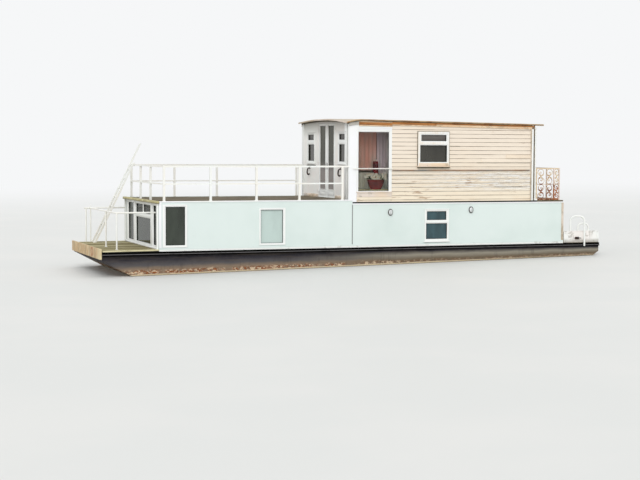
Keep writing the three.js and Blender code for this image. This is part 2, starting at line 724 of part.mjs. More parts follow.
// Roof deck rails: square posts with a top rail and a middle rail
function makeRoofRails() {
  const start = RAIL_POSTS[0] - POST / 2;
  const end = UPPER_CABIN_FRONT - GAP;
  const topRailBottom = RAIL_TOP - TOP_RAIL;
  [["near", -1], ["far", 1]].forEach(([name, side]) => {
    const y = side * (SIDE - POST / 2);
    const pieces = RAIL_POSTS.map((x) =>
      box(x - POST / 2, x + POST / 2, y - POST / 2, y + POST / 2, LOWER_WALL_TOP_BOW + GAP, RAIL_TOP - 1),
    );
    pieces.push(box(start, end, y - TOP_RAIL / 2, y + TOP_RAIL / 2, topRailBottom, RAIL_TOP));
    const midEnd = RAIL_POSTS[RAIL_POSTS.length - 1];
    const half = MID_RAIL / 2;
    pieces.push(box(start + 5, midEnd, y - half, y + half, RAIL_MIDDLE - half, RAIL_MIDDLE + half));
    add(`roof_rail_${name}`, join(pieces), "rail_white");
  });
  const limit = SIDE - POST - GAP;
  const x = RAIL_POSTS[0];
  const midHalf = MID_RAIL / 2;
  const crossRails = [
    box(x - TOP_RAIL / 2, x + TOP_RAIL / 2, -limit, limit, topRailBottom, RAIL_TOP),
    box(x - midHalf, x + midHalf, -limit, limit, RAIL_MIDDLE - midHalf, RAIL_MIDDLE + midHalf),
  ];
  const posts = BOW_RAIL_POSTS.map((y) =>
    box(x - POST / 2, x + POST / 2, y - POST / 2, y + POST / 2, ROOF_DECK_TOP + GAP, RAIL_TOP - 1),
  );
  add("roof_rail_bow", join([...crossRails, ...posts]), "rail_white");
}

// Foredeck rail: one bent tube from the cabin round the bow, a straight far run, and posts
const FOREDECK_RAIL_HEIGHT = 2100;
const FOREDECK_TUBE = 46;
const FOREDECK_RAIL_NEAR = -1685;
const FOREDECK_RAIL_FAR = 2060;
const EAVE_POST = 50;
const EAVE_POST_FRONT = LOWER_CABIN_FRONT - GAP - 62;
const FOREDECK_RAIL_FRONT = -7540;
const FOREDECK_RAIL_CORNER = -7500;
const FOREDECK_FAR_END = -7706;
const FOREDECK_POSTS = [
  { x: FOREDECK_RAIL_CORNER, y: FOREDECK_RAIL_NEAR + 12, top: 0 },
  { x: FOREDECK_RAIL_FRONT + 8, y: -365, top: 0 },
  { x: FOREDECK_RAIL_CORNER, y: FOREDECK_RAIL_FAR, top: 75 },
  { x: -7640, y: FOREDECK_RAIL_FAR, top: 0 },
];

function makeForedeckRail() {
  const z = FOREDECK_RAIL_HEIGHT;
  const cabin = LOWER_CABIN_FRONT - GAP;
  const bend = roundedPath(
    [
      [cabin, FOREDECK_RAIL_NEAR, z],
      [FOREDECK_RAIL_FRONT, FOREDECK_RAIL_NEAR, z],
      [FOREDECK_RAIL_CORNER, FOREDECK_RAIL_FAR, z],
    ],
    140,
  );
  const pieces = [tube(bend, FOREDECK_TUBE, 40)];
  const farRun = [EAVE_POST_FRONT - GAP, FOREDECK_RAIL_FAR, z];
  pieces.push(rod([FOREDECK_FAR_END, FOREDECK_RAIL_FAR, z], farRun, FOREDECK_TUBE));
  FOREDECK_POSTS.forEach(({ x, y, top }) => {
    pieces.push(rod([x, y, FOREDECK_TOP + GAP], [x, y, z + top], FOREDECK_TUBE));
  });
  add("foredeck_rail", join(pieces), "rail_white");
}

// Boarding ladder: leans on the roof rail, its far stile runs on above it
const LADDER = { foot: -7495, footHeight: FOREDECK_TOP + GAP, near: 1545, far: 1975, stile: 45, width: 66 };
const LADDER_REST = { x: RAIL_POSTS[0] - TOP_RAIL / 2 - GAP, z: RAIL_TOP };
const LADDER_TOPS = { near: 3500, far: 4100 };
const RUNG_SPACING = 280;
const RUNG = 28;

function makeLadder() {
  const { foot, footHeight, near, far, stile, width } = LADDER;
  const rise = LADDER_REST.z - footHeight;
  const run = LADDER_REST.x - foot - width;
  const at = (height) => foot + ((height - footHeight) * run) / rise;
  const stileOutline = (top) => [
    [foot, footHeight],
    [foot + width, footHeight],
    [at(top) + width, top],
    [at(top), top],
  ];
  const pieces = [
    acrossBeam(stileOutline(LADDER_TOPS.near), near, near + stile),
    acrossBeam(stileOutline(LADDER_TOPS.far), far - stile, far),
  ];
  for (let height = footHeight + RUNG_SPACING; height < LADDER_TOPS.near; height += RUNG_SPACING) {
    const x = at(height) + width / 2;
    pieces.push(rod([x, near + stile / 2, height], [x, far - stile / 2, height], RUNG, 8));
  }
  add("boarding_ladder", join(pieces), "rail_white");
}

// Balcony rail: framed panels on three sides behind the upper cabin, the side ones filled with scrolls
const BALCONY = {
  from: 5790, middle: 6415, to: 6640, side: 2050, bottom: 2380, top: 3380, middleRail: 2860, bar: 36,
};
const BALCONY_END_POSTS = [-1230, -410, 410, 1230];
const SCROLL = { bar: 18, sides: 6, steps: 52, pointsPerTurn: 12, eye: 0.25 };

// Points of a flat spiral: a quarter turn at full radius, then one turn that winds in to its eye
function spiral(x, z, radius, start, way) {
  const quarter = SCROLL.pointsPerTurn / 4;
  return Array.from({ length: SCROLL.pointsPerTurn + quarter + 1 }, (unused, i) => {
    const angle = start + (way * 2 * Math.PI * i) / SCROLL.pointsPerTurn;
    const wound = Math.max(0, i - quarter) / SCROLL.pointsPerTurn;
    const reach = radius * (1 - (1 - SCROLL.eye) * wound);
    return [x + reach * Math.cos(angle), z + reach * Math.sin(angle)];
  });
}

// An S of two spirals that stands in a cell and meets the rails below and above it
function scroll(x0, x1, z0, z1, y, way) {
  const radius = Math.min((x1 - x0) / 2, (z1 - z0) / 4);
  const x = (x0 + x1) / 2;
  const lower = spiral(x, z0 + radius, radius, way > 0 ? Math.PI : 0, way);
  const upper = spiral(x, z1 - radius, radius, way > 0 ? 0 : Math.PI, way);
  const points = [...lower.reverse(), ...upper].map(([u, v]) => new THREE.Vector3(u, y, v));
  const path = new THREE.CatmullRomCurve3(points, false, "centripetal");
  return tube(path, SCROLL.bar, SCROLL.steps, SCROLL.sides);
}

function makeBalconyRail() {
  const { from, middle, to, side, bottom, top, middleRail, bar } = BALCONY;
  const floor = UPPER_FLOOR_TOP + GAP;
  const pieces = [];
  const half = (from + bar + middle) / 2;
  const columns = [[from + bar, half], [half, middle], [middle + bar, to - bar]];
  const rows = [[bottom + bar, middleRail], [middleRail + bar / 2, top - bar]];
  [-1, 1].forEach((sign) => {
    const y0 = Math.min(sign * side, sign * (side - bar));
    const y1 = y0 + bar;
    pieces.push(box(from, to, y0, y1, top - bar, top));
    pieces.push(box(from, to, y0, y1, bottom, bottom + bar));
    pieces.push(box(from, to, y0, y1, middleRail, middleRail + bar / 2));
    [from, middle, to - bar].forEach((x) => {
      pieces.push(box(x, x + bar, y0, y1, floor, top));
    });
    columns.forEach(([x0, x1], column) => {
      rows.forEach(([z0, z1], row) => {
        const way = (column + row) % 2 === 0 ? 1 : -1;
        pieces.push(scroll(x0, x1, z0, z1, (y0 + y1) / 2, way));
      });
    });
  });
  pieces.push(box(to - bar, to, -side, side, top - bar, top));
  pieces.push(box(to - bar, to, -side, side, bottom, bottom + bar));
  BALCONY_END_POSTS.forEach((y) => {
    pieces.push(box(to - bar, to, y - bar / 2, y + bar / 2, floor, top));
  });
  add("balcony_rail", join(pieces), "rusty_iron");
}

// Boarding hoops over the stern bulwark: each from [x, y, z] to [x, y, z], with the height of its top
const HOOP_TUBE = 54;
const HOOPS = [
  {
    name: "stern_hoop_tall", top: 1852, radius: 200,
    foot: [7068, -2000, STERN_DECK_TOP + GAP],
    end: [7490, -(SIDE + STRAKE_OUT + HOOP_TUBE / 2 + GAP), 905],
  },
  {
    name: "stern_hoop_low", top: 1612, radius: 150,
    foot: [7367, -1960, STERN_DECK_TOP + GAP],
    end: [7690, -2060, BULWARK_TOP + GAP],
  },
];

function makeHoops() {
  HOOPS.forEach(({ name, top, radius, foot, end }) => {
    const path = roundedPath([foot, [foot[0], foot[1], top], [end[0], end[1], top], end], radius);
    add(name, tube(path, HOOP_TUBE, 36), "rail_white");
  });
}

// Rails and pipes on the upper cabin
const GRAB_RAIL = { from: 845, to: 5510, z: 3315, diameter: 26, out: 46, half: 10 };
const GRAB_BRACKETS = [1968, 3132, 4317, 5472];
const SAFETY_BAR = { from: -425, to: 838, z: 3363, diameter: 30, out: 52 };
const SAFETY_BRACKETS = { places: [-405, 830], half: 8, rise: 12 };
const DOWNPIPE = { x: 5745, y: -2050, bottom: UPPER_FLOOR_TOP + GAP, top: 4640, diameter: 62, sides: 12 };
const PIPE_CLIPS = { heights: [2700, 3500, 4400], half: 12, rise: 15 };

function boardFace(z) {
  const share = (((z - FIRST_BOARD_EDGE) % BOARD_PITCH) + BOARD_PITCH) % BOARD_PITCH;
  return SIDE + BOARD_BUTT + ((BOARD_TIP - BOARD_BUTT) * share) / BOARD_PITCH;
}

function makeTrim() {
  const rail = GRAB_RAIL;
  const y = -(SIDE + rail.out);
  const grab = [rod([rail.from, y, rail.z], [rail.to, y, rail.z], rail.diameter)];
  GRAB_BRACKETS.forEach((x) => {
    const face = -(boardFace(rail.z - rail.half) + GAP);
    grab.push(box(x - rail.half, x + rail.half, y, face, rail.z - rail.half, rail.z + rail.half));
  });
  add("grab_rail", join(grab), "rail_white");
  const bar = SAFETY_BAR;
  const barY = -(SIDE + bar.out);
  const safety = [rod([bar.from, barY, bar.z], [bar.to, barY, bar.z], bar.diameter)];
  const hold = SAFETY_BRACKETS;
  hold.places.forEach((x) => {
    safety.push(box(x - hold.half, x + hold.half, barY, -(SIDE + GAP), bar.z - hold.rise, bar.z + hold.rise));
  });
  add("window_safety_bar", join(safety), "rail_white");
  const pipe = DOWNPIPE;
  const drain = [rod([pipe.x, pipe.y, pipe.bottom], [pipe.x, pipe.y, pipe.top], pipe.diameter, pipe.sides)];
  const { heights, half, rise } = PIPE_CLIPS;
  heights.forEach((z) => {
    drain.push(box(UPPER_CABIN_BACK + GAP, pipe.x, pipe.y - half, pipe.y + half, z - rise, z + rise));
  });
  add("downpipe", join(drain), "pipe_white");
}

// Oval bulkhead lights on the lower cabin: places along the hull and heights
const LIGHTS = [
  { name: "bulkhead_light_bow", x: 800, z: 2046 },
  { name: "bulkhead_light_stern", x: 3505, z: 2093 },
];
const LIGHT = { halfWidth: 80, halfHeight: 105, depth: 50, bevel: 20 };

function makeLights() {
  LIGHTS.forEach(({ name, x, z }) => {
    const outline = new THREE.Shape();
    outline.absellipse(0, 0, LIGHT.halfWidth, LIGHT.halfHeight, 0, 2 * Math.PI);
    const geometry = new THREE.ExtrudeGeometry(outline, {
      depth: LIGHT.depth,
      bevelEnabled: true,
      bevelSize: LIGHT.bevel,
      bevelOffset: -LIGHT.bevel,
      bevelThickness: LIGHT.bevel,
      bevelSegments: 2,
      curveSegments: 8,
    });
    geometry.rotateX(Math.PI / 2);
    geometry.translate(x, -SIDE - GAP - LIGHT.bevel, z);
    add(name, closed(geometry), "frame_white");
  });
}

makeHull();
makeStrake();
makeDecks();
makeLowerWalls();
makeBowScreen();
makeRoofDeck();
makeUpperWalls();
makeRoof();
WINDOWS.forEach(makeWindow);
makeFarGlass();
makeFrenchDoors();
makeBackDoors();
makeRoofRails();
makeForedeckRail();
makeLadder();
makeBalconyRail();
makeHoops();
makeTrim();
makeLights();

export default group;
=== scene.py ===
"""Looks of a flat-bottomed houseboat with a clapboard upper cabin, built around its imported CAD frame."""

import math
import random

import bpy
from mathutils import Matrix, Vector


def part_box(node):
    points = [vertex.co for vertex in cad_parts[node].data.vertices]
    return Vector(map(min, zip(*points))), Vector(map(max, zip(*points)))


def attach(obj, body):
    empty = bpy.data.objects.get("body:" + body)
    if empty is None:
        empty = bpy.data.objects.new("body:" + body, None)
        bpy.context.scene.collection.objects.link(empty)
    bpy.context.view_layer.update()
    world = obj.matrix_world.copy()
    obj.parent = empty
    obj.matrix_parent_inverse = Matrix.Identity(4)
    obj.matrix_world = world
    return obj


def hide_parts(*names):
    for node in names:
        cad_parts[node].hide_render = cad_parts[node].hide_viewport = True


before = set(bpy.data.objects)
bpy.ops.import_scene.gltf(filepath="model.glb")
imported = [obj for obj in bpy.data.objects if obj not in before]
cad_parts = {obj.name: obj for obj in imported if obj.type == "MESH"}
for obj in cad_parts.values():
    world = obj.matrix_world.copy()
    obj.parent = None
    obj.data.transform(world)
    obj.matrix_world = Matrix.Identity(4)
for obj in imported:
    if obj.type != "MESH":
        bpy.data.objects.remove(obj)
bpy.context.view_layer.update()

bl_info = {
    "name": "Houseboat",
    "version": (1, 0, 0),
    "blender": (4, 5, 0),
    "location": "3D View > Sidebar > Houseboat",
    "description": "Adds the finishes and fittings of a houseboat to its CAD frame",
    "category": "Object",
}

# Light on a wall that faces the camera, against a white card in full light
DAYLIGHT = 1.15

# The boat floats deeper at the stern: height of the water above the hull's bottom amidships, and its slope
WATER_HEIGHT = 0.442
WATER_SLOPE = 0.01885

# Top of the hull side, the joint of the strake's plate and bar, and the lowest edge of the lapped boards
HULL_TOP = 0.900
STRAKE_JOINT = 0.944
FIRST_LAP = 2.299

# Underside of the eave board over its posts, and how far from the middle the roof's rims begin
EAVE_FOOT = 2.369
ROOF_RIM = 2.160

# The rust ring on the bow board: its middle across and up, and its half width and half height
RUST_RING = (-0.978, 0.967, 0.17, 0.13)


def chip(red, green, blue):
    """Linear colour of a surface that looks like this 8-bit colour in the scene's daylight."""
    return tuple(((c / 255 + 0.055) / 1.055) ** 2.4 / DAYLIGHT for c in (red, green, blue))


def colour(name, description, *channels):
    """A colour setting with its default given as an 8-bit chip."""
    return bpy.props.FloatVectorProperty(
        name=name, description=description, subtype="COLOR", size=3, min=0, max=1, default=chip(*channels)
    )


def length(name, description, default):
    """A length setting in metres."""
    return bpy.props.FloatProperty(
        name=name, description=description, subtype="DISTANCE", unit="LENGTH", min=0, default=default
    )


class HouseboatColours(bpy.types.PropertyGroup):
    """Paint, timber, iron and glass colours"""

    mint: colour("Mint panel", "Coated panels of the lower cabin", 226, 237, 233)
    mint_shade: colour("Mint panel, aged", "Where the panels have dulled", 216, 229, 224)
    base_white: colour("Base board", "White board under the mint panels", 246, 248, 244)
    panel_white: colour("White panel", "Smooth panels of the upper cabin", 250, 250, 252)
    wall_grey: colour("Front wall", "Dulled white of the upper cabin's front", 250, 244, 239)
    # Real dirt, and also painted shade high on the front wall and along the eave's lower edge
    grime_and_shade: colour("Grime", "Dirt that gathers low down and in corners", 116, 106, 84)
    hull_bow: colour("Hull at the bow", "Grey hull paint near the bow", 90, 87, 88)
    hull_stern: colour("Hull at the stern", "Silt-brown hull side near the stern", 150, 144, 130)
    # Dark paint with the strake's shade painted in
    hull_top_and_strake_shade: colour("Hull under the strake", "Near black purple", 10, 8, 12)
    hull_low: colour("Hull, scoured", "Bare brown plate low on the hull", 136, 118, 100)
    hull_upper: colour("Hull, upper side", "Purple black paint high on the hull", 50, 48, 54)
    hull_silt: colour("Hull, silted", "Brown silt low on the hull", 108, 95, 78)
    hull_streak: colour("Hull streaks", "Dark runs down the hull", 56, 50, 48)
    hull_scale: colour("Hull scale", "Pale flaking scale above the water", 214, 192, 162)
    waterline: colour("Waterline", "Chalky line just above the water", 206, 190, 160)
    weed: colour("Weed", "Olive growth at the water", 50, 44, 20)
    strake_black: colour("Strake", "Black rubbing strake", 5, 5, 6)
    # A painted highlight along the strake's lip
    strake_lip_highlight: colour("Strake lip", "Scuffed lower lip of the strake", 104, 102, 102)
    cream: colour("Cream paint", "Bow board and eave", 194, 184, 134)
    board_tan: colour("Bow board", "Faded tan paint of the bow board", 200, 168, 122)
    cream_pale: colour("Cream paint, faded", "Sun-bleached edges of the cream paint", 230, 222, 182)
    deck_tan: colour("Deck boards", "Weathered foredeck boards", 140, 129, 88)
    deck_dark: colour("Deck grain", "Dark grain of the deck boards", 98, 86, 56)
    felt: colour("Roof felt", "Mineral felt on the roof deck", 116, 106, 88)
    felt_dark: colour("Roof felt, damp", "Damp patches on the felt", 76, 68, 57)
    siding: colour("Siding", "Cream paint on the clapboards", 246, 233, 216)
    siding_peach: colour("Siding, stained", "Peach stain of bare patches", 240, 214, 180)
    siding_low: colour("Siding, lower boards", "Yellower cream of the lower boards", 247, 234, 211)
    # Real dark rims of flakes, and dirt with painted shade under each lap
    siding_dark_and_lap_shade: colour("Board laps", "Dark line under each lapped board", 104, 80, 60)
    siding_brown: colour("Siding, worn", "Brown wood where the paint is gone", 160, 120, 84)
    frame_white: colour("Window frame", "White frames of windows and doors", 247, 248, 246)
    rail_white: colour("Rail white", "White paint on rails and ladder", 246, 243, 234)
    rust: colour("Rust", "Fresh orange rust", 170, 96, 48)
    rust_dark: colour("Rust, old", "Old dark rust", 84, 48, 32)
    iron_cream: colour("Balcony iron", "Cream paint left on the balcony's iron", 224, 204, 172)
    iron_pink: colour("Balcony posts", "Pinkish white paint of the posts", 232, 214, 202)
    fascia_orange: colour("Fascia", "Orange-brown bare fascia boards", 204, 140, 82)
    fascia_dark: colour("Fascia grain", "Dark grain of the fascia boards", 128, 78, 42)
    fascia_pale: colour("Fascia, painted", "Pinkish cream on the lower fascia", 230, 192, 152)
    roof_rim: colour("Roof rim", "Tan edge of the roof", 176, 152, 118)
    roof_pale: colour("Roof sheet", "Pale edge and top of the roof", 206, 194, 176)
    # Also the dark of the painted reflections in the glass
    rubber: colour("Rubber", "Black glazing rubber and dark gaps", 22, 22, 22)
    seam: colour("Panel seam", "Dark grey joint between the panels", 128, 132, 130)
    trim_pink: colour("Corner trim", "Pinkish cream trim", 230, 216, 203)
    corner_tan: colour("Stern corner trim", "Tan trim at the stern corners", 192, 174, 148)
    lead: colour("Lead", "Lead cames and grey metal", 126, 126, 122)
    blind: colour("Blind", "Slatted blind in the bow screen", 82, 76, 62)
    curtain_red: colour("Curtain", "Dusty red curtain", 246, 190, 172)
    curtain_grey: colour("Curtain, grey", "Grey-violet curtain", 236, 226, 230)
    curtain_net: colour("Net", "Pale net curtain", 246, 248, 238)
    glass_green: colour("Glass, bow window", "Dark glass with a green cast", 74, 82, 72)
    glass_blue: colour("Glass, stern window", "Dark glass with a blue cast", 76, 110, 118)
    glass_grey: colour("Glass, upper cabin", "Grey-green glass", 90, 88, 80)
    glass_rose: colour("Glass, large window", "Glass with a warm cast", 252, 240, 234)
    glass_violet: colour("Glass, right of the large window", "Cooler glass", 246, 240, 242)
    glass_sage: colour("Glass, foot of the large window", "Greenish glass over the net", 250, 250, 242)
    glass_pale: colour("Glass, middle window", "Pale glass with its blind drawn", 206, 224, 218)
    glass_olive: colour("Glass, French doors", "Dark olive glass", 88, 88, 74)
    glass_haze: colour("Glass, greyer", "High in the windows and low in the doors", 156, 148, 143)
    glaze_red: colour("Red glaze", "Glaze of the lamp and the flower bowl", 128, 18, 26)
    glaze_dark: colour("Red glaze, shaded", "Darker red of the glaze", 66, 8, 14)
    leaf_green: colour("Leaves", "Grey-green leaves of the flowers", 96, 112, 84)
    floor: colour("Studio floor", "Plain pale floor at the waterline", 226, 227, 224)
    backdrop: colour("Studio backdrop", "Pale backdrop and sky light", 246, 247, 248)


class HouseboatSizes(bpy.types.PropertyGroup):
    """Sizes of the fittings"""

    edge: length("Edge radius", "Rounding of timber and frame edges", 0.004)
    sash: length("Sash width", "Width of the sash ring around each pane", 0.026)
    board_pitch: length("Board pitch", "Height of one lapped clapboard", 0.125)
    plank: length("Deck plank", "Width of one deck plank with its gap", 0.13)


def sizes():
    """The size settings."""
    return bpy.context.scene.houseboat_sizes


def shade(name):
    """A colour setting as a node socket takes it."""
    return (*getattr(bpy.context.scene.houseboat_colours, name), 1.0)


# Shader nodes


class Nodes:
    """A node tree and the vector it reads, with a short way to add each node."""

    def __init__(self, tree, place):
        self.tree = tree
        self.place = place

    def feed(self, socket, value):
        """Links another socket to this one, or sets its value."""
        if isinstance(value, bpy.types.NodeSocket):
            self.tree.links.new(value, socket)
        else:
            socket.default_value = value

    def add(self, kind, inputs, **choices):
        """A new node, with its choices set and its inputs fed."""
        made = self.tree.nodes.new(kind)
        for name, value in choices.items():
            setattr(made, name, value)
        for key, value in inputs.items():
            self.feed(made.inputs[key], value)
        return made

    def mapped(self, vector, scale=(1, 1, 1), location=(0, 0, 0), rotation=(0, 0, 0)):
        """A vector that is scaled, moved or turned."""
        inputs = {"Vector": vector, "Scale": scale, "Location": location, "Rotation": rotation}
        return self.add("ShaderNodeMapping", inputs).outputs[0]

    def spot(self, at, stretch):
        """The vector to read: the tree's own or another, scaled where it is stretched."""
        at = self.place if at is None else at
        return self.mapped(at, stretch) if stretch else at

    def noise(self, scale, detail=5.0, roughness=0.55, distortion=0.0, at=None, stretch=None):
        """Noise from 0 to 1 around a half."""
        inputs = {"Vector": self.spot(at, stretch), "Scale": scale, "Detail": detail}
        inputs.update({"Roughness": roughness, "Distortion": distortion})
        return self.add("ShaderNodeTexNoise", inputs).outputs[0]

    def ranged(self, value, low, high, to_low=0.0, to_high=1.0):
        """A value eased from one range into another and held at its ends."""
        inputs = {"Value": value, "From Min": low, "From Max": high, "To Min": to_low, "To Max": to_high}
        return self.add("ShaderNodeMapRange", inputs, interpolation_type="SMOOTHSTEP").outputs[0]

    def mixed(self, factor, first, second):
        """Two colours mixed by a mask."""
        return self.add("ShaderNodeMix", {0: factor, 6: first, 7: second}, data_type="RGBA").outputs[2]

    def maths(self, operation, first, second=0.0):
        """Two values put together."""
        return self.add("ShaderNodeMath", {0: first, 1: second}, operation=operation).outputs[0]

    def times(self, first, *others):
        """Values multiplied together."""
        for other in others:
            first = self.maths("MULTIPLY", first, other)
        return first

    def plus(self, first, second):
        """Two values added."""
        return self.maths("ADD", first, second)

    def minus(self, first, second):
        """One value taken from another."""
        return self.maths("SUBTRACT", first, second)

    def swing(self, value, width):
        """A noise value that swings this far in all about zero."""
        return self.times(self.minus(value, 0.5), width)

    def vector(self, operation, first, second=(0, 0, 0)):
        """Two vectors put together: the outputs of the sum."""
        return self.add("ShaderNodeVectorMath", {0: first, 1: second}, operation=operation).outputs

    def ramp(self, value, stops):
        """A colour that changes along a value, from stops that each hold a place and a colour setting."""
        made = self.add("ShaderNodeValToRGB", {0: value})
        bands = made.color_ramp.elements
        for place, name in stops[1:-1]:
            bands.new(place)
        for band, (place, name) in zip(bands, stops):
            band.position = place
            band.color = shade(name)
        return made.outputs[0]

    def bumped(self, height, strength, distance=0.002):
        """A normal that follows a height."""
        inputs = {"Height": height, "Strength": strength, "Distance": distance}
        return self.add("ShaderNodeBump", inputs).outputs[0]

    def threshold(self, value, amount, softness):
        """A mask that covers more of the surface as the amount grows."""
        edge = self.minus(0.74, self.times(amount, 0.48))
        return self.ranged(value, edge, self.plus(edge, softness))

    def effect(self, name, at=None, stretch=None, **inputs):
        """One of the shared effects, placed with its own values."""
        inputs["Vector"] = self.spot(at, stretch)
        return self.add("ShaderNodeGroup", inputs, node_tree=bpy.data.node_groups[name]).outputs


VALUE = "NodeSocketFloat"
VECTOR = "NodeSocketVector"


def new_effect(name, values, **outputs):
    """An empty shared effect that reads a vector and these values: its nodes, inputs and outputs."""
    group = bpy.data.node_groups.new(name, "ShaderNodeTree")
    group.interface.new_socket("Vector", in_out="INPUT", socket_type=VECTOR)
    for label, default in values.items():
        group.interface.new_socket(label, in_out="INPUT", socket_type=VALUE).default_value = default
    for label, kind in outputs.items():
        group.interface.new_socket(label, in_out="OUTPUT", socket_type=kind)
    given = group.nodes.new("NodeGroupInput").outputs
    return Nodes(group, given["Vector"]), given, group.nodes.new("NodeGroupOutput").inputs


def make_streaks():
    """Streaks that run down a wall."""
    nodes, given, out = new_effect("Run-off streaks", {"Scale": 8.0, "Amount": 0.5}, Mask=VALUE)
    lines = nodes.noise(given["Scale"], 4, stretch=(1, 1, 0.06))
    broken = nodes.noise(nodes.times(given["Scale"], 0.3), 3)
    both = nodes.plus(nodes.times(lines, 0.65), nodes.times(broken, 0.35))
    nodes.feed(out["Mask"], nodes.threshold(both, given["Amount"], 0.14))


def make_patches():
    """Worn patches with ragged edges."""
    values = {"Scale": 4.0, "Amount": 0.4, "Softness": 0.06}
    nodes, given, out = new_effect("Worn patches", values, Mask=VALUE)
    field = nodes.noise(given["Scale"], 9, 0.66, 0.3)
    nodes.feed(out["Mask"], nodes.threshold(field, given["Amount"], given["Softness"]))


def make_grain():
    """Timber grain that runs along the vector's X."""
    nodes, given, out = new_effect("Timber grain", {"Scale": 30.0}, Grain=VALUE, Cracks=VALUE)
    along = nodes.mapped(nodes.place, (0.05, 1, 1))
    nodes.feed(out["Grain"], nodes.ranged(nodes.noise(given["Scale"], 6, 0.6, 0.8, at=along), 0.3, 0.7))
    thin = nodes.noise(nodes.times(given["Scale"], 2.4), 3, at=along)
    nodes.feed(out["Cracks"], nodes.ranged(thin, 0.63, 0.72))


def make_rust():
    """Rust that blooms from orange to dark brown."""
    values = {"Scale": 12.0, "Amount": 0.4}
    nodes, given, out = new_effect("Rust bloom", values, Colour="NodeSocketColor", Mask=VALUE)
    field = nodes.noise(given["Scale"], 9, 0.7, 0.6)
    fine = nodes.noise(nodes.times(given["Scale"], 5.0), 4)
    nodes.feed(out["Colour"], nodes.mixed(nodes.ranged(fine, 0.35, 0.65), shade("rust"), shade("rust_dark")))
    nodes.feed(out["Mask"], nodes.threshold(field, given["Amount"], 0.08))


def make_relief():
    """Fine unevenness of brushed paint or cast metal."""
    nodes, given, out = new_effect("Fine relief", {"Scale": 60.0, "Strength": 0.3}, Normal=VECTOR)
    nodes.feed(out["Normal"], nodes.bumped(nodes.noise(given["Scale"], 6, 0.6), given["Strength"]))


def make_edge_wear():
    """A mask along sharp edges, broken up by noise."""
    nodes, given, out = new_effect("Edge wear", {"Radius": 0.01, "Amount": 0.5}, Mask=VALUE)
    rounded = nodes.add("ShaderNodeBevel", {"Radius": given["Radius"]}, samples=4).outputs[0]
    flat = nodes.add("ShaderNodeNewGeometry", {}).outputs["Normal"]
    match = nodes.vector("DOT_PRODUCT", rounded, flat)["Value"]
    edge = nodes.ranged(nodes.minus(1.0, match), 0.005, 0.12)
    broken = nodes.threshold(nodes.noise(22.0, 6), given["Amount"], 0.1)
    nodes.feed(out["Mask"], nodes.times(edge, broken))


# Materials


class Finish(Nodes):
    """One material: its shader, the Object coordinates it reads, and its colour as its coats are laid."""

    def __init__(self, name, base):
        self.material = bpy.data.materials.new(name)
        self.material.use_nodes = True
        super().__init__(self.material.node_tree, None)
        self.shader = self.tree.nodes["Principled BSDF"]
        self.place = self.add("ShaderNodeTexCoord", {}).outputs["Object"]
        self.at = self.add("ShaderNodeSeparateXYZ", {0: self.place}).outputs
        self.base = shade(base)

    def coat(self, tone, *masks):
        """Lays a colour over the base where all its masks are."""
        tone = shade(tone) if isinstance(tone, str) else tone
        self.base = self.mixed(self.times(*masks), self.base, tone)

    def patches(self, scale, amount, softness=0.06, **spot):
        """The mask of the worn patches."""
        return self.effect("Worn patches", Scale=scale, Amount=amount, Softness=softness, **spot)["Mask"]

    def streaks(self, scale, amount):
        """The mask of the run-off streaks."""
        return self.effect("Run-off streaks", Scale=scale, Amount=amount)["Mask"]

    def relief(self, scale, strength):
        """The normal of the fine relief."""
        return self.effect("Fine relief", Scale=scale, Strength=strength)["Normal"]

    def board(self, lie, spread):
        """The board's own tone, and a vector that the tone moves, so that each board has its own grain."""
        tone = self.add("ShaderNodeAttribute", {}, attribute_name="tone").outputs["Fac"]
        return tone, self.vector("ADD", lie, self.times(tone, spread))[0]

    def done(self, **inputs):
        """Gives the shader its colour and its other inputs, with underscores for spaces."""
        self.feed(self.shader.inputs["Base Color"], self.base)
        for key, value in inputs.items():
            self.feed(self.shader.inputs[key.replace("_", " ")], value)


def weathered_paint(
    name, fresh, worn, streaks=0.3, patches=0.3, roughness=0.45, low=None, high=None, edges=0.0, dirt=0.3
):
    """Brushed or sprayed paint with an aged tone, run-off streaks, dirt low down, and painted shade high up
    under the roof.
    """
    paint = Finish(name, fresh)
    tone = paint.noise(0.9, 4)
    paint.coat(worn, paint.ranged(tone, 0.35, 0.7))
    paint.coat("grime_and_shade", paint.streaks(9.0, streaks), dirt)
    paint.coat("grime_and_shade", paint.patches(5.0, patches), dirt)
    if low:
        ragged = paint.plus(paint.at["Z"], paint.times(paint.noise(7.0), -0.1))
        paint.coat("grime_and_shade", paint.ranged(ragged, *low, 1.0, 0.0), 0.5)
    # Painted shade high up, where the roof's overhang shades the wall
    if high:
        paint.coat("grime_and_shade", paint.ranged(paint.at["Z"], *high, 0.0, 0.62))
    if edges:
        paint.coat("grime_and_shade", paint.effect("Edge wear", Amount=edges)["Mask"], 0.7)
    gloss = paint.ranged(tone, 0.3, 0.7, roughness - 0.06, roughness + 0.1)
    paint.done(Roughness=gloss, Normal=paint.relief(45.0, 0.12))


def make_mint():
    """Mint panels over a white base board, with rain dirt under the sills."""
    paint = Finish("mint_panels", "mint")
    height = paint.at["Z"]
    tone = paint.noise(0.6, 3)
    paint.coat("mint_shade", paint.ranged(tone, 0.4, 0.8))
    paint.coat("grime_and_shade", paint.streaks(6.0, 0.25), 0.08)
    paint.coat("base_white", paint.ranged(height, 1.048, 1.054, 1.0, 0.0))
    paint.coat("grime_and_shade", paint.patches(6.0, 0.35), paint.ranged(height, 1.0, 1.12, 0.35, 0.0))
    paint.done(Roughness=paint.ranged(tone, 0.3, 0.7, 0.32, 0.45), Normal=paint.relief(30.0, 0.08))


# The hull side's colours from the water up to the strake, near the bow and near the stern; the near black at
# the top is dark paint with the strake's shade painted in
BOW_BANDS = (
    (0.0, "hull_low"), (0.34, "hull_low"), (0.50, "hull_bow"), (0.78, "hull_upper"), (1.0, "hull_top_and_strake_shade")
)
STERN_BANDS = (
    (0.0, "hull_silt"), (0.3, "hull_silt"), (0.62, "hull_stern"), (0.9, "hull_upper"), (1.0, "hull_top_and_strake_shade")
)


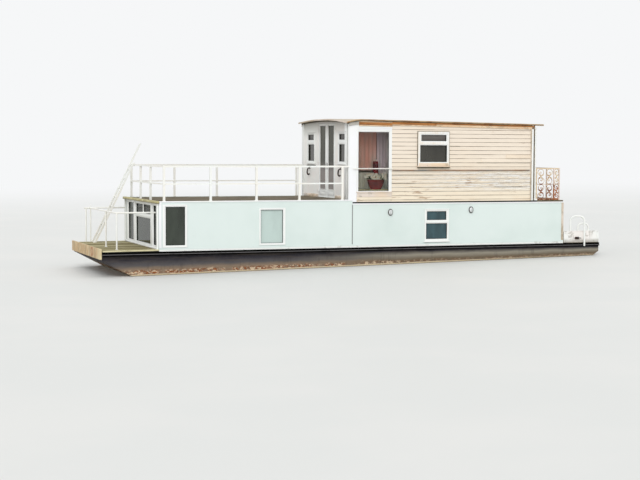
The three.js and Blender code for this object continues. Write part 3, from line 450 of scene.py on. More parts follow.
def make_hull():
    """Hull side: near black under the strake, where its shade is painted in, paler and then brown downwards,
    with rust, flakes and chalk.
    """
    hull = Finish("hull_side", "hull_top_and_strake_shade")
    along = hull.at["X"]
    water = hull.plus(hull.times(along, WATER_SLOPE), WATER_HEIGHT)
    above = hull.minus(hull.at["Z"], water)
    uneven = hull.noise(4.0, 7, stretch=(0.4, 1, 1))
    level = hull.maths("DIVIDE", above, hull.minus(HULL_TOP, water))
    level = hull.plus(level, hull.swing(uneven, 0.2))
    change = hull.ranged(hull.plus(along, hull.swing(hull.noise(0.5), 3.0)), -3.2, 2.6)
    hull.base = hull.mixed(change, hull.ramp(level, BOW_BANDS), hull.ramp(level, STERN_BANDS))
    scuffs = hull.noise(16.0, stretch=(0.06, 1, 1))
    hull.coat("hull_silt", hull.ranged(scuffs, 0.46, 0.64, 0.0, 0.16))
    hull.coat("hull_streak", hull.streaks(9.0, 0.45), 0.3)
    gaps = hull.ranged(hull.noise(1.1, stretch=(1, 1, 0)), 0.38, 0.47, 0.15, 1.0)
    flaking = hull.times(hull.ranged(level, 0.17, 0.36, 1.0, 0.0), gaps)
    rust = hull.effect("Rust bloom", stretch=(0.7, 1, 1.3), Scale=15.0, Amount=0.6)
    hull.coat(rust["Colour"], rust["Mask"], flaking, hull.ranged(along, -1.8, 0.8, 1.0, 0.25))
    moved = hull.mapped(hull.place, (0.6, 1, 1.2), (3, 0, 0))
    flakes = hull.patches(18.0, 0.48, at=moved)
    hull.coat("hull_scale", flakes, flaking, hull.ranged(along, 0.0, 2.2, 1.0, 0.35))
    edge = hull.ranged(hull.plus(above, hull.swing(uneven, 0.03)), 0.035, 0.058, 1.0, 0.0)
    hull.coat("waterline", edge, hull.ranged(along, 2.5, 6.5, 0.92, 0.4))
    hull.coat("weed", hull.ranged(above, 0.006, 0.018, 1.0, 0.0))
    height = hull.plus(hull.noise(40.0, 8, 0.7), hull.times(rust["Mask"], 0.6))
    hull.done(
        Roughness=hull.ranged(rust["Mask"], 0.0, 1.0, 0.55, 0.85), Normal=hull.bumped(height, 0.35, 0.004),
        Specular_IOR_Level=0.15,
    )


def make_strake():
    """Black strake with a painted grey highlight along the lip where its plate meets its bar."""
    paint = Finish("strake_paint", "strake_black")
    height = paint.at["Z"]
    # A painted highlight where the lip catches light, broken up in patches
    highlight_breakup = paint.patches(9.0, 0.7, stretch=(0.25, 1, 1))
    under = paint.ranged(height, STRAKE_JOINT - 0.022, STRAKE_JOINT - 0.014)
    over = paint.ranged(height, STRAKE_JOINT - 0.002, STRAKE_JOINT + 0.006, 1.0, 0.0)
    paint.coat("strake_lip_highlight", paint.ranged(highlight_breakup, 0.0, 1.0, 0.6, 1.0), under, over)
    rust = paint.effect("Rust bloom", Scale=6.0, Amount=0.12)
    paint.coat(rust["Colour"], rust["Mask"], 0.6)
    paint.done(Roughness=0.75, Normal=paint.relief(50.0, 0.4), Specular_IOR_Level=0.03)


def timber(name, fresh, dark, stain, scale, wear=0.4, crack=0.8, turn=0.0):
    """Weathered timber: grain along the boards, each board its own tone, stains and open cracks."""
    wood = Finish(name, fresh)
    lie = wood.mapped(wood.place, rotation=(0, turn, 0))
    tone, own = wood.board(lie, 37.0)
    grain = wood.effect("Timber grain", at=own, Scale=scale)
    wood.coat(dark, grain["Grain"], wear)
    wood.coat(stain, wood.ranged(tone, 0.45, 1.0, 0.0, 0.5))
    wood.coat(dark, wood.patches(5.0, 0.5, 0.16, at=lie, stretch=(0.35, 1, 1)), wear)
    wood.coat("felt_dark", grain["Cracks"], crack)
    height = wood.minus(grain["Grain"], grain["Cracks"])
    wood.done(Roughness=0.78, Normal=wood.bumped(height, 0.5), Specular_IOR_Level=0.2)


def make_siding():
    """Flaking cream paint on clapboards: a dark line of dirt and painted shade under each lap, peach stains
    and bare brown wood.
    """
    paint = Finish("siding_boards", "siding_low")
    height = paint.at["Z"]
    tone, own = paint.board(paint.place, 23.0)
    grain = paint.effect("Timber grain", at=own, Scale=34.0)
    paint.coat("siding", paint.ranged(height, 2.5, 4.2))
    paint.coat("siding_peach", paint.ranged(tone, 0.4, 1.0, 0.0, 0.3))
    cloud = paint.patches(1.3, 0.5, 0.25, stretch=(0.5, 1, 1))
    paint.coat("siding_peach", cloud, paint.ranged(height, 2.6, 3.9, 0.5, 0.15))
    bare = paint.patches(8.0, paint.ranged(height, 2.7, 3.4, 0.34, 0.16), at=own, stretch=(0.16, 1, 1))
    paint.coat("siding_brown", bare, 0.6)
    flaking = paint.times(
        paint.ranged(height, 2.60, 2.82), paint.ranged(height, 3.42, 3.16),
        paint.ranged(paint.at["X"], 1.4, 3.6, 0.35, 1.0),
    )
    flakes = paint.patches(20.0, 0.6, 0.12, at=own, stretch=(0.10, 1, 2.6))
    paint.coat("frame_white", flakes, flaking, 0.8)
    rims = paint.times(paint.ranged(flakes, 0.02, 0.3), paint.ranged(flakes, 0.9, 0.5))
    paint.coat("siding_dark_and_lap_shade", rims, flaking, 0.4)
    paint.coat("siding_brown", grain["Grain"], 0.08)
    paint.coat("fascia_dark", grain["Cracks"], paint.ranged(tone, 0.3, 0.9, 0.1, 0.45))
    # A dark line of dirt and painted shade just under each board's lapped edge and along its foot
    step = paint.maths("FRACT", paint.maths("DIVIDE", paint.minus(height, FIRST_LAP), sizes().board_pitch))
    lap = paint.maths("MAXIMUM", paint.ranged(step, 0.85, 0.93), paint.ranged(step, 0.0, 0.04, 1.0, 0.0))
    patchy = paint.noise(2.0, stretch=(0.7, 1, 5))
    paint.coat("siding_dark_and_lap_shade", lap, paint.ranged(patchy, 0.35, 0.62, 0.5, 0.95))
    relief = paint.minus(paint.times(grain["Grain"], 0.5), grain["Cracks"])
    paint.done(Roughness=paint.ranged(bare, 0.0, 1.0, 0.58, 0.85), Normal=paint.bumped(relief, 0.4))


def make_felt():
    """Brown mineral felt with damp patches."""
    felt = Finish("mineral_felt", "felt")
    felt.coat("felt_dark", felt.patches(1.2, 0.5, 0.2))
    grit = felt.noise(220.0, 3, 0.8)
    felt.coat("deck_tan", felt.ranged(grit, 0.55, 0.75, 0.0, 0.4))
    felt.done(Roughness=0.92, Normal=felt.bumped(grit, 0.8), Specular_IOR_Level=0.15)


def make_balcony_iron():
    """Rusty scrolls with flakes of cream, between paler posts and rails."""
    iron = Finish("balcony_iron", "iron_cream")
    along, height = iron.at["X"], iron.at["Z"]
    rust = iron.effect("Rust bloom", Scale=14.0, Amount=iron.ranged(height, 2.4, 3.3, 0.72, 0.42))
    iron.coat(rust["Colour"], rust["Mask"])
    iron.coat("rust", iron.ranged(along, 6.36, 6.42), iron.ranged(height, 2.86, 2.7), 0.7)
    kept = iron.minus(1.0, iron.times(iron.patches(16.0, 0.4), 0.8))
    top_rail, end_post = iron.maths("GREATER_THAN", height, 3.342), iron.maths("LESS_THAN", along, 5.828)
    iron.coat("iron_cream", iron.maths("MAXIMUM", top_rail, end_post), kept)
    middle_post = iron.times(
        iron.maths("GREATER_THAN", along, 6.413), iron.maths("LESS_THAN", along, 6.453),
        iron.maths("GREATER_THAN", height, 2.86),
    )
    posts = iron.maths("MAXIMUM", iron.maths("GREATER_THAN", along, 6.602), middle_post)
    iron.coat("iron_pink", posts, kept)
    rough = iron.ranged(rust["Mask"], 0.0, 1.0, 0.5, 0.9)
    iron.done(Roughness=rough, Normal=iron.bumped(rust["Mask"], 0.6))


def make_roof_sheet():
    """Pale roofing sheet with moss-dark run-off and a tan rim."""
    sheet = Finish("roof_sheet", "roof_pale")
    sheet.coat("grime_and_shade", sheet.patches(1.8, 0.5, 0.2), 0.4)
    fine = sheet.noise(60.0, 4)
    sheet.coat("felt", sheet.ranged(fine, 0.6, 0.8, 0.0, 0.35))
    stain = sheet.times(sheet.patches(6.0, 0.5, stretch=(0.3, 1, 1)), 0.6)
    side = sheet.maths("GREATER_THAN", sheet.maths("ABSOLUTE", sheet.at["Y"]), ROOF_RIM)
    sheet.coat(sheet.mixed(stain, shade("roof_rim"), shade("fascia_dark")), side)
    sheet.done(Roughness=0.8, Normal=sheet.bumped(fine, 0.4), Specular_IOR_Level=0.2)


def make_eave():
    """Faded cream eave over white posts, with painted shade along its lower edge."""
    paint = Finish("eave_paint", "cream")
    height = paint.at["Z"]
    paint.coat("cream_pale", paint.patches(7.0, 0.45), 0.6)
    moss = paint.streaks(11.0, 0.5)
    paint.coat("grime_and_shade", moss, 0.45)
    # Painted shade along the eave's lower edge
    paint.coat("grime_and_shade", paint.ranged(height, EAVE_FOOT + 0.022, EAVE_FOOT + 0.034, 0.75, 0.0))
    white = paint.mixed(paint.times(moss, 0.12), shade("base_white"), shade("grime_and_shade"))
    paint.coat(white, paint.minus(1.0, paint.maths("GREATER_THAN", height, EAVE_FOOT)))
    paint.done(Roughness=0.6, Normal=paint.relief(45.0, 0.15), Specular_IOR_Level=0.25)


def make_bow_board_paint():
    """Faded tan paint with a ring of rust bleeding through it."""
    paint = Finish("bow_board_paint", "board_tan")
    paint.coat("cream_pale", paint.patches(5.0, 0.5), 0.35)
    paint.coat("cream_pale", paint.ranged(paint.at["Y"], -1.55, -1.95), 0.5)
    paint.coat("grime_and_shade", paint.streaks(7.0, 0.55), 0.4)
    across, up, wide, high = RUST_RING
    centred = paint.mapped(paint.place, (0, 1 / wide, 1 / high), (0, -across / wide, -up / high))
    reach = paint.plus(paint.vector("LENGTH", centred)["Value"], paint.swing(paint.noise(9.0), 0.5))
    inside = paint.ranged(reach, 0.95, 1.15, 1.0, 0.0)
    paint.coat("rust", inside, paint.ranged(reach, 0.4, 0.8, 0.25, 0.8))
    paint.done(Roughness=0.6, Normal=paint.relief(45.0, 0.15))


def make_glass(name, cast, clear, dark=0.45, mirror=0.5, ior=1.45, bands=()):
    """Window glass with a cast that changes over its bands, mottled by what it mirrors, and partly clear."""
    glass = Finish(name, cast)
    mirrored = glass.noise(1.6, 6, 0.6, stretch=(1, 1, 0.35))
    # Painted reflections: patches darkened by what the glass mirrors
    glass.coat("rubber", glass.ranged(mirrored, 0.35, 0.7, 0.0, dark))
    for axis, start, end, tone in bands:
        glass.coat(tone, glass.ranged(glass.at[axis], start, end))
    glass.done(Roughness=0.04, IOR=ior, Transmission_Weight=clear, Specular_IOR_Level=mirror)


def make_plain(name, base, second, roughness, scale, metallic=0.0):
    """A small part's finish: two close tones and a fine relief."""
    part = Finish(name, base)
    part.coat(second, part.ranged(part.noise(scale), 0.4, 0.7))
    part.done(Roughness=roughness, Metallic=metallic, Normal=part.relief(scale * 4, 0.2))


def make_cloth(name, base, second):
    """Hanging cloth: a fine weave with soft vertical fading."""
    cloth = Finish(name, base)
    warp = cloth.noise(160.0, 3, stretch=(1, 1, 0.08))
    weft = cloth.noise(160.0, 3, stretch=(0.08, 0.08, 1))
    cloth.coat(second, cloth.ranged(cloth.noise(3.0, stretch=(1, 1, 0.2)), 0.35, 0.7))
    weave = cloth.bumped(cloth.times(warp, weft), 0.4, 0.001)
    cloth.done(Roughness=0.9, Sheen_Weight=0.3, Normal=weave)


# Painted finishes: name, fresh colour, aged colour, and how each differs
PAINTS = (
    ("panel_paint", "panel_white", "base_white", dict(streaks=0.15, patches=0.1, dirt=0.15)),
    # The front wall darkens high up with painted shade under the roof
    ("front_paint", "wall_grey", "base_white", dict(patches=0.2, low=(2.37, 2.46), high=(4.20, 4.80))),
    ("front_base_paint", "wall_grey", "siding_peach", dict(patches=0.5, low=(2.37, 2.46), edges=0.8)),
    ("bulwark_paint", "base_white", "wall_grey", dict(streaks=0.45, patches=0.4, low=(0.99, 1.12), dirt=0.4)),
    ("frame_paint", "frame_white", "base_white", dict(streaks=0.15, patches=0.1, roughness=0.35, dirt=0.15)),
    # The front frames darken high up with painted shade under the roof
    (
        "front_frame_paint", "frame_white", "base_white",
        dict(streaks=0.15, roughness=0.35, high=(4.10, 4.85), dirt=0.15),
    ),
    ("rail_paint", "rail_white", "base_white", dict(streaks=0.2, patches=0.25, roughness=0.4, dirt=0.2)),
    ("pipe_paint", "base_white", "wall_grey", dict(patches=0.2, dirt=0.2)),
    ("trim_paint", "trim_pink", "siding_peach", dict(roughness=0.6)),
    ("corner_paint", "corner_tan", "trim_pink", dict(streaks=0.4, patches=0.4, roughness=0.7)),
    ("front_rim", "trim_pink", "corner_tan", dict(streaks=0.2, roughness=0.7)),
    ("fascia_paint", "fascia_pale", "siding_peach", dict(streaks=0.2, patches=0.5, roughness=0.7)),
)

# Plain finishes: name, colour, second tone, roughness, scale of the noise, and how metallic where it is
PLAINS = (
    ("glazing_rubber", "rubber", "strake_black", 0.7, 30.0),
    ("lead_grey", "lead", "hull_bow", 0.5, 20.0, 0.6),
    ("blind_slats", "blind", "felt_dark", 0.7, 9.0),
    ("black_iron", "rubber", "rust_dark", 0.6, 24.0, 0.3),
    ("handle_metal", "lead", "wall_grey", 0.3, 20.0, 0.8),
    ("frosted_dome", "panel_white", "mint_shade", 0.35, 12.0),
    ("roof_edge", "roof_rim", "fascia_pale", 0.7, 3.0),
    ("seam_grey", "seam", "lead", 0.6, 12.0),
    # Dark joints and grooves, and dark strips that paint shade in gaps, under rims and sills and beside the
    # downpipe
    ("groove_and_shade_grey", "grime_and_shade", "hull_streak", 0.8, 6.0),
    ("grab_iron", "siding_brown", "seam", 0.6, 1.2),
    ("lamp_rim", "lead", "hull_streak", 0.5, 20.0),
    ("red_glaze", "glaze_red", "glaze_dark", 0.25, 5.0),
    ("petals", "base_white", "siding_peach", 0.7, 30.0),
    ("leaves", "leaf_green", "weed", 0.7, 12.0),
)

# Glass: name, cast, how clear, and how it differs
GLASSES = (
    ("bow_window_glass", "glass_green", 0.3, {}),
    ("pale_window_glass", "glass_pale", 0.1, dict(dark=0.12)),
    ("stern_window_glass", "glass_blue", 0.3, {}),
    ("upper_glass", "glass_grey", 0.4, dict(mirror=0.3, bands=[("Z", 4.02, 4.56, "glass_haze")])),
    ("screen_glass", "glass_green", 0.45, dict(mirror=0.05)),
    ("door_glass", "glass_olive", 0.25, dict(mirror=0.05, bands=[("Z", 3.62, 3.20, "glass_haze")])),
    (
        "large_window_glass", "glass_rose", 1.0, dict(
            dark=0.1, mirror=0.08, ior=1.2,
            bands=[("X", 0.05, 0.55, "glass_violet"), ("Z", 3.40, 3.15, "glass_sage")],
        ),
    ),
)


def make_finishes():
    """Every shared effect, and then every finish of the boat."""
    for make in (
        make_streaks, make_patches, make_grain, make_rust, make_relief, make_edge_wear, make_mint,
        make_hull, make_strake, make_siding, make_felt, make_balcony_iron, make_roof_sheet, make_eave,
        make_bow_board_paint,
    ):
        make()
    for name, fresh, worn, choices in PAINTS:
        weathered_paint(name, fresh, worn, **choices)
    timber("pale_timber", "cream_pale", "deck_tan", "deck_tan", 20.0)
    timber("deck_boards", "deck_tan", "deck_dark", "cream_pale", 22.0)
    timber("casing_timber", "frame_white", "siding_peach", "rail_white", 20.0, 0.3, 0.2, math.pi / 2)
    timber("fascia_boards", "fascia_orange", "fascia_dark", "siding_peach", 18.0, 0.75)
    for row in PLAINS:
        make_plain(*row)
    make_cloth("red_curtain", "curtain_red", "trim_pink")
    make_cloth("grey_curtain", "curtain_grey", "curtain_net")
    make_cloth("net_curtain", "curtain_net", "mint_shade")
    for name, cast, clear, choices in GLASSES:
        make_glass(name, cast, clear, **choices)


# The CAD nodes that are carried over, by their finish
CARRIED_FINISHES = {
    "hull_side": "hull",
    "strake_paint": "rubbing_strake",
    "bow_board_paint": "bow_fascia",
    "eave_paint": "bow_eave",
    "deck_boards": "foredeck stern_deck",
    "mint_panels": "lower_wall_near_bow lower_wall_near_stern lower_wall_far lower_wall_stern",
    "mineral_felt": "roof_deck upper_floor",
    "roof_sheet": "upper_roof",
    "panel_paint": "upper_wall_near_panel",
    "siding_boards": "upper_wall_near_siding upper_wall_far upper_wall_back",
    "front_paint": "upper_wall_front",
    "bulwark_paint": "stern_bulwark",
    "fascia_boards": "roof_fascia",
    "frame_paint": "bow_screen_frame lower_window_bow_frame lower_window_middle_frame"
    " lower_window_stern_frame upper_window_large_frame upper_window_side_frame balcony_door stern_door"
    " bulkhead_light_bow bulkhead_light_stern",
    "front_frame_paint": "front_window_near_frame front_window_far_frame french_door_near french_door_far",
    "rail_paint": "roof_rail_near roof_rail_far roof_rail_bow foredeck_rail boarding_ladder stern_hoop_tall"
    " stern_hoop_low window_safety_bar",
    "grab_iron": "grab_rail",
    "balcony_iron": "balcony_rail",
    "pipe_paint": "downpipe",
    "bow_window_glass": "lower_window_bow_glass far_window_bow_glass",
    "screen_glass": "bow_screen_glass",
    "door_glass": "french_glass_near french_glass_far",
    "pale_window_glass": "lower_window_middle_glass",
    "stern_window_glass": "lower_window_stern_glass far_window_stern_glass",
    "upper_glass": "upper_window_side_glass front_window_near_glass front_window_far_glass"
    " far_window_upper_glass balcony_door_glass",
    "large_window_glass": "upper_window_large_glass",
}


def dress_frame():
    """Gives each carried CAD node its finish."""
    for finish, names in CARRIED_FINISHES.items():
        for name in names.split():
            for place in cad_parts[name].material_slots:
                place.material = bpy.data.materials[finish]


# Stage

CAMERA_PLACE = Vector((-16.3215, -41.9483, 3.9217))
CAMERA_YAW = math.radians(20.44)
CAMERA_PITCH = math.radians(3.60)
CAMERA_ROLL = math.radians(0.25)
CAMERA_LENS = 80.66
SENSOR_WIDTH = 36
FLOOR_REACH = 220.0
# Between these distances the floor fades into the backdrop
FADE_START, FADE_END = 22.0, 85.0
SUN_STRENGTH = 1.35
SUN_SPREAD = math.radians(28)
SUN_FROM = Vector((-0.35, -0.70, 0.60))


def place_camera():
    """The photograph's viewpoint, fitted to the boat's own straight edges."""
    level = Vector((math.cos(CAMERA_YAW), -math.sin(CAMERA_YAW), 0))
    ahead = Vector((math.sin(CAMERA_YAW), math.cos(CAMERA_YAW), 0))
    up = Vector((0, 0, 1))
    forward = ahead * math.cos(CAMERA_PITCH) - up * math.sin(CAMERA_PITCH)
    lifted = up * math.cos(CAMERA_PITCH) + ahead * math.sin(CAMERA_PITCH)
    right = level * math.cos(CAMERA_ROLL) + lifted * math.sin(CAMERA_ROLL)
    top = lifted * math.cos(CAMERA_ROLL) - level * math.sin(CAMERA_ROLL)
    deselect_all()
    bpy.ops.object.camera_add()
    camera = bpy.context.object
    camera.name = "photo_camera"
    camera.data.lens = CAMERA_LENS
    camera.data.sensor_width = SENSOR_WIDTH
    camera.data.clip_end = 2 * FLOOR_REACH
    turn = Matrix((right, top, -forward)).transposed()
    camera.matrix_world = Matrix.Translation(CAMERA_PLACE) @ turn.to_4x4()
    bpy.context.scene.camera = camera


def lay_floor():
    """A pale floor in the water's plane, which fades into the backdrop far away."""
    deselect_all()
    bpy.ops.mesh.primitive_plane_add(size=2 * FLOOR_REACH)
    floor = bpy.context.object
    floor.name = "studio_floor"
    floor.data.transform(Matrix.Rotation(-math.atan(WATER_SLOPE), 4, "Y"))
    floor.data.transform(Matrix.Translation((0, 0, WATER_HEIGHT)))
    finish = Finish("studio_floor", "floor")
    finish.coat("wall_grey", finish.ranged(finish.noise(0.25, 3), 0.4, 0.7, 0.0, 0.12))
    finish.done(Roughness=0.6)
    far = finish.ranged(finish.vector("LENGTH", finish.place)["Value"], FADE_START, FADE_END)
    glow = finish.add("ShaderNodeEmission", {"Color": shade("backdrop"), "Strength": DAYLIGHT})
    blend = finish.add("ShaderNodeMixShader", {0: far, 1: finish.shader.outputs[0], 2: glow.outputs[0]})
    finish.feed(finish.tree.nodes["Material Output"].inputs["Surface"], blend.outputs[0])
    floor.data.materials.append(finish.material)


def light_stage():
    """An even pale sky, and a soft sun from above the near side and the bow."""
    world = bpy.data.worlds.new("studio_sky")
    world.use_nodes = True
    sky = world.node_tree.nodes["Background"]
    sky.inputs["Color"].default_value = shade("backdrop")
    sky.inputs["Strength"].default_value = DAYLIGHT
    bpy.context.scene.world = world
    deselect_all()
    bpy.ops.object.light_add(type="SUN")
    sun = bpy.context.object
    sun.name = "soft_sun"
    sun.data.energy = SUN_STRENGTH
    sun.data.angle = SUN_SPREAD
    sun.matrix_world = SUN_FROM.to_track_quat("Z", "Y").to_matrix().to_4x4()
    bpy.context.scene.view_settings.view_transform = "Standard"


# Modelling by hand

UPRIGHT = (math.pi / 2, 0, 0)


def deselect_all():
    """Nothing selected and nothing active."""
    for other in bpy.context.selected_objects:
        other.select_set(False)
    bpy.context.view_layer.objects.active = None


def select(*pieces):
    """Selects these pieces alone and makes the first of them active."""
    deselect_all()
    for piece in pieces:
        piece.select_set(True)
    bpy.context.view_layer.objects.active = pieces[0]


def settled():
    """The piece that was just added, with its place and turn put into its mesh."""
    bpy.ops.object.transform_apply(location=True, rotation=True, scale=True)
    return bpy.context.object


def added(primitive, scale=(1, 1, 1), **choices):
    """A primitive with its place, turn and scale put into its mesh."""
    deselect_all()
    primitive(**choices)
    bpy.context.object.scale = scale
    return settled()


def block(low, high):
    """A box between two opposite corners, the start of a bar or board."""
    size = [abs(b - a) for a, b in zip(low, high)]
    middle = [(a + b) / 2 for a, b in zip(low, high)]
    return added(bpy.ops.mesh.primitive_cube_add, size, size=1, location=middle)


def rod(start, end, radius, sides=16, end_radius=None):
    """A round bar between two points, or a taper with its own radius at the end."""
    start, end = Vector(start), Vector(end)
    return added(
        bpy.ops.mesh.primitive_cone_add, vertices=sides, radius1=radius,
        radius2=radius if end_radius is None else end_radius, depth=(end - start).length,
        location=(start + end) / 2, rotation=(end - start).to_track_quat("Z", "Y").to_euler(),
    )


def tube(points, radius, sides=3, handles="AUTO"):
    """A round tube along points, on a smooth curve through them unless the handles are VECTOR."""
    deselect_all()
    bpy.ops.curve.primitive_bezier_curve_add()
    drawn = bpy.context.object
    line = drawn.data.splines[0]
    line.bezier_points.add(len(points) - 2)
    for knot, place in zip(line.bezier_points, points):
        knot.co = place
        knot.handle_left_type = knot.handle_right_type = handles
    drawn.data.bevel_depth = radius
    drawn.data.bevel_resolution = sides
    drawn.data.resolution_u = 8
    drawn.data.use_fill_caps = True
    bpy.ops.object.convert(target="MESH")
    return smooth(settled(), 60)


def shape_with(piece, kind, **choices):
    """Adds one modifier, sets it up and applies it."""
    select(piece)
    modifier = piece.modifiers.new(kind.title(), kind)
    for name, value in choices.items():
        setattr(modifier, name, value)
    bpy.ops.object.modifier_apply(modifier=modifier.name)


def smooth(piece, degrees=40):
    """Shades a piece smooth, apart from its sharp edges."""
    select(piece)
    bpy.ops.object.shade_smooth_by_angle(angle=math.radians(degrees))
    return piece


def soften(piece, width=None, segments=2):
    """Rounds a piece's edges."""
    shape_with(piece, "BEVEL", width=width or sizes().edge, segments=segments, limit_method="ANGLE")
    return smooth(piece)


def bar(low, high, width=None, segments=2):
    """A box with rounded edges between two opposite corners."""
    return soften(block(low, high), width, segments)


def nudge(piece, chosen, offset):
    """Moves the corners that are chosen by their place."""
    select(piece)
    bpy.ops.object.mode_set(mode="EDIT")
    bpy.ops.mesh.select_mode(type="VERT")
    bpy.ops.mesh.select_all(action="DESELECT")
    bpy.ops.object.mode_set(mode="OBJECT")
    for corner in piece.data.vertices:
        corner.select = chosen(corner.co)
    bpy.ops.object.mode_set(mode="EDIT")
    bpy.ops.transform.translate(value=offset)
    bpy.ops.object.mode_set(mode="OBJECT")
    return piece


def joined(pieces):
    """Several pieces made one object."""
    select(*pieces)
    if len(pieces) > 1:
        bpy.ops.object.join()
    return pieces[0]


def cut(piece, low, high):
    """Cuts a box-shaped hole between two corners."""
    cutter = block(low, high)
    shape_with(piece, "BOOLEAN", operation="DIFFERENCE", solver="EXACT", object=cutter)
    bpy.data.objects.remove(cutter)
    return piece


def divided(piece, point, normal, **choices):
    """Divides a piece along a plane."""
    select(piece)
    bpy.ops.object.mode_set(mode="EDIT")
    bpy.ops.mesh.select_all(action="SELECT")
    bpy.ops.mesh.bisect(plane_co=point, plane_no=normal, **choices)
    bpy.ops.object.mode_set(mode="OBJECT")
    return piece


def trimmed(piece, point, normal):
    """Cuts away what lies beyond a plane and closes the cut."""
    return divided(piece, point, normal, use_fill=True, clear_outer=True)


def copied(piece, offset):
    """A copy with its own mesh, moved by an offset."""
    twin = piece.copy()
    twin.data = piece.data.copy()
    twin.data.transform(Matrix.Translation(offset))
    bpy.context.collection.objects.link(twin)
    return twin


def placed(piece, wall):
    """A piece that was modelled on the near wall's frame, moved to its wall."""
    piece.data.transform(wall)
    return piece


def ring(pane, width, front, back):
    """A frame around a pane: a face inset by the frame's width, opened, and drawn out to its depth."""
    start, end, bottom, top = pane
    piece = added(
        bpy.ops.mesh.primitive_plane_add, (end - start + 2 * width, top - bottom + 2 * width, 1), size=1,
        location=((start + end) / 2, front, (bottom + top) / 2), rotation=UPRIGHT,
    )
    bpy.ops.object.mode_set(mode="EDIT")
    bpy.ops.mesh.select_all(action="SELECT")
    bpy.ops.mesh.inset(thickness=width, use_even_offset=True)
    bpy.ops.mesh.delete(type="FACE")
    bpy.ops.mesh.select_all(action="SELECT")
    bpy.ops.mesh.extrude_region_move(TRANSFORM_OT_translate={"value": (0, back - front, 0)})
    bpy.ops.mesh.select_all(action="SELECT")
    bpy.ops.mesh.normals_make_consistent(inside=False)
    bpy.ops.object.mode_set(mode="OBJECT")
    return piece


def tint(piece, value):
    """Marks a board with its own tone, which its finish reads."""
    marks = piece.data.attributes
    layer = marks.get("tone") or marks.new("tone", "FLOAT", "FACE")
    layer.data.foreach_set("value", [value] * len(layer.data))
    return piece


def hand_in(parts, name, finish, wall=None, body="boat", replaces=()):
    """Joins the parts on their wall as one piece, names and finishes it, and fixes it to its body."""
    piece = joined(parts)
    if wall is not None:
        placed(piece, wall)
    piece.name = name
    piece.data.name = name
    piece.data.materials.clear()
    piece.data.materials.append(bpy.data.materials[finish])
    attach(piece, body)
    if replaces:
        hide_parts(*replaces)
    return piece


# Places taken from the frame

HULL_LOW, HULL_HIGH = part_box("hull")
HALF_BEAM = HULL_HIGH.y
PANEL_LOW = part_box("upper_wall_near_panel")[0]
CABIN_FRONT, CABIN_FLOOR = PANEL_LOW.x, PANEL_LOW.z
SIDING_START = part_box("upper_wall_near_siding")[0].x
CABIN_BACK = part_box("upper_wall_near_siding")[1].x
SCREEN_LOW, SCREEN_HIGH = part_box("bow_screen_frame")
ROOF_LOW, ROOF_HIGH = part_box("upper_roof")
ROOF_SLOPE = 0.01512
ROOF_EDGE_FRONT = 4.842
ROOF_THICKNESS = 0.030
ROOF_CAMBER = 0.040
# Shares of the roof's half width between which its sheet is straight
CAMBER_STATIONS = (-1, -0.6, -0.25, 0.25, 0.6, 1)
# The near and far front corners' droop, and the places along the roof where its sheet bends down to them
CORNER_DROOP = (0.090, 0.045)
ROOF_BENDS = (-0.645, -0.490, -0.340, -0.200)
WALL_THICKNESS = 0.060


def wall_at(place, degrees):
    """The frame of a wall: X runs along it as seen from outside, Y goes into it and Z is up."""
    return Matrix.Translation(place) @ Matrix.Rotation(math.radians(degrees), 4, "Z")


NEAR = wall_at((0, -HALF_BEAM, 0), 0)
FAR = wall_at((0, HALF_BEAM, 0), 180)
FRONT = wall_at((CABIN_FRONT, 0, 0), -90)
BACK = wall_at((CABIN_BACK, 0, 0), 90)
BOW = wall_at((SCREEN_LOW.x, 0, 0), -90)
STERN = wall_at((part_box("lower_wall_near_stern")[1].x, 0, 0), 90)


def corner_share(x):
    """How much of its corner's droop the roof has at a place along it: straight between its bends."""
    shares = [((ROOF_BENDS[-1] - bend) / (ROOF_BENDS[-1] - ROOF_BENDS[0])) ** 1.5 for bend in ROOF_BENDS]
    for start, end, first, last in zip(ROOF_BENDS, ROOF_BENDS[1:], shares, shares[1:]):
        if x < end:
            return first + (last - first) * max(0, x - start) / (end - start)
    return 0.0


def roof_top(x, y):
    """Height of the roof's top: it falls aft, is cambered, and droops at its front corners."""
    share = y / ROOF_HIGH.y
    after = next((index for index, station in enumerate(CAMBER_STATIONS) if share <= station and index), -1)
    start, end = CAMBER_STATIONS[after - 1], CAMBER_STATIONS[after]
    rises = []
    for station in (start, end):
        droop = CORNER_DROOP[station > 0] * corner_share(x)
        rises.append(ROOF_CAMBER - (ROOF_CAMBER + droop) * station**2)
    rise = rises[0] + (rises[1] - rises[0]) * (share - start) / (end - start)
    return ROOF_EDGE_FRONT - ROOF_SLOPE * (x - ROOF_LOW.x) + rise


def roof_under(x, y=HALF_BEAM):
    """Height of the roof's underside."""
    return roof_top(x, y) - ROOF_THICKNESS


def laid_on_roof(piece):
    """Divides a piece where the roof bends, and lifts it from heights above the roof's top to the roof."""
    for x in ROOF_BENDS[1:]:
        divided(piece, (x, 0, 0), (1, 0, 0))
    for station in CAMBER_STATIONS[1:-1]:
        divided(piece, (0, station * ROOF_HIGH.y, 0), (0, 1, 0))
    for corner in piece.data.vertices:
        corner.co.z += roof_top(corner.co.x, corner.co.y)
    return piece


# Hull, strake and decks

# Height of the strake's lower bar, and how far its upper plate stands out
STRAKE_BAR = 0.044
STRAKE_PLATE_OUT = 0.044
# Places of the weld seams, and where the raked bow edge starts and ends
SEAM_PLACES = (-5.2, -2.7, -0.2, 2.3, 4.8)
RAKE_FOOT = (-6.56, 0.016)
RAKE_TOP = 0.8
PLANK_GAP = 0.006
PLANK_THICKNESS = 0.028
# How much lower a plank may lie than the first
PLANK_DROP = 0.003


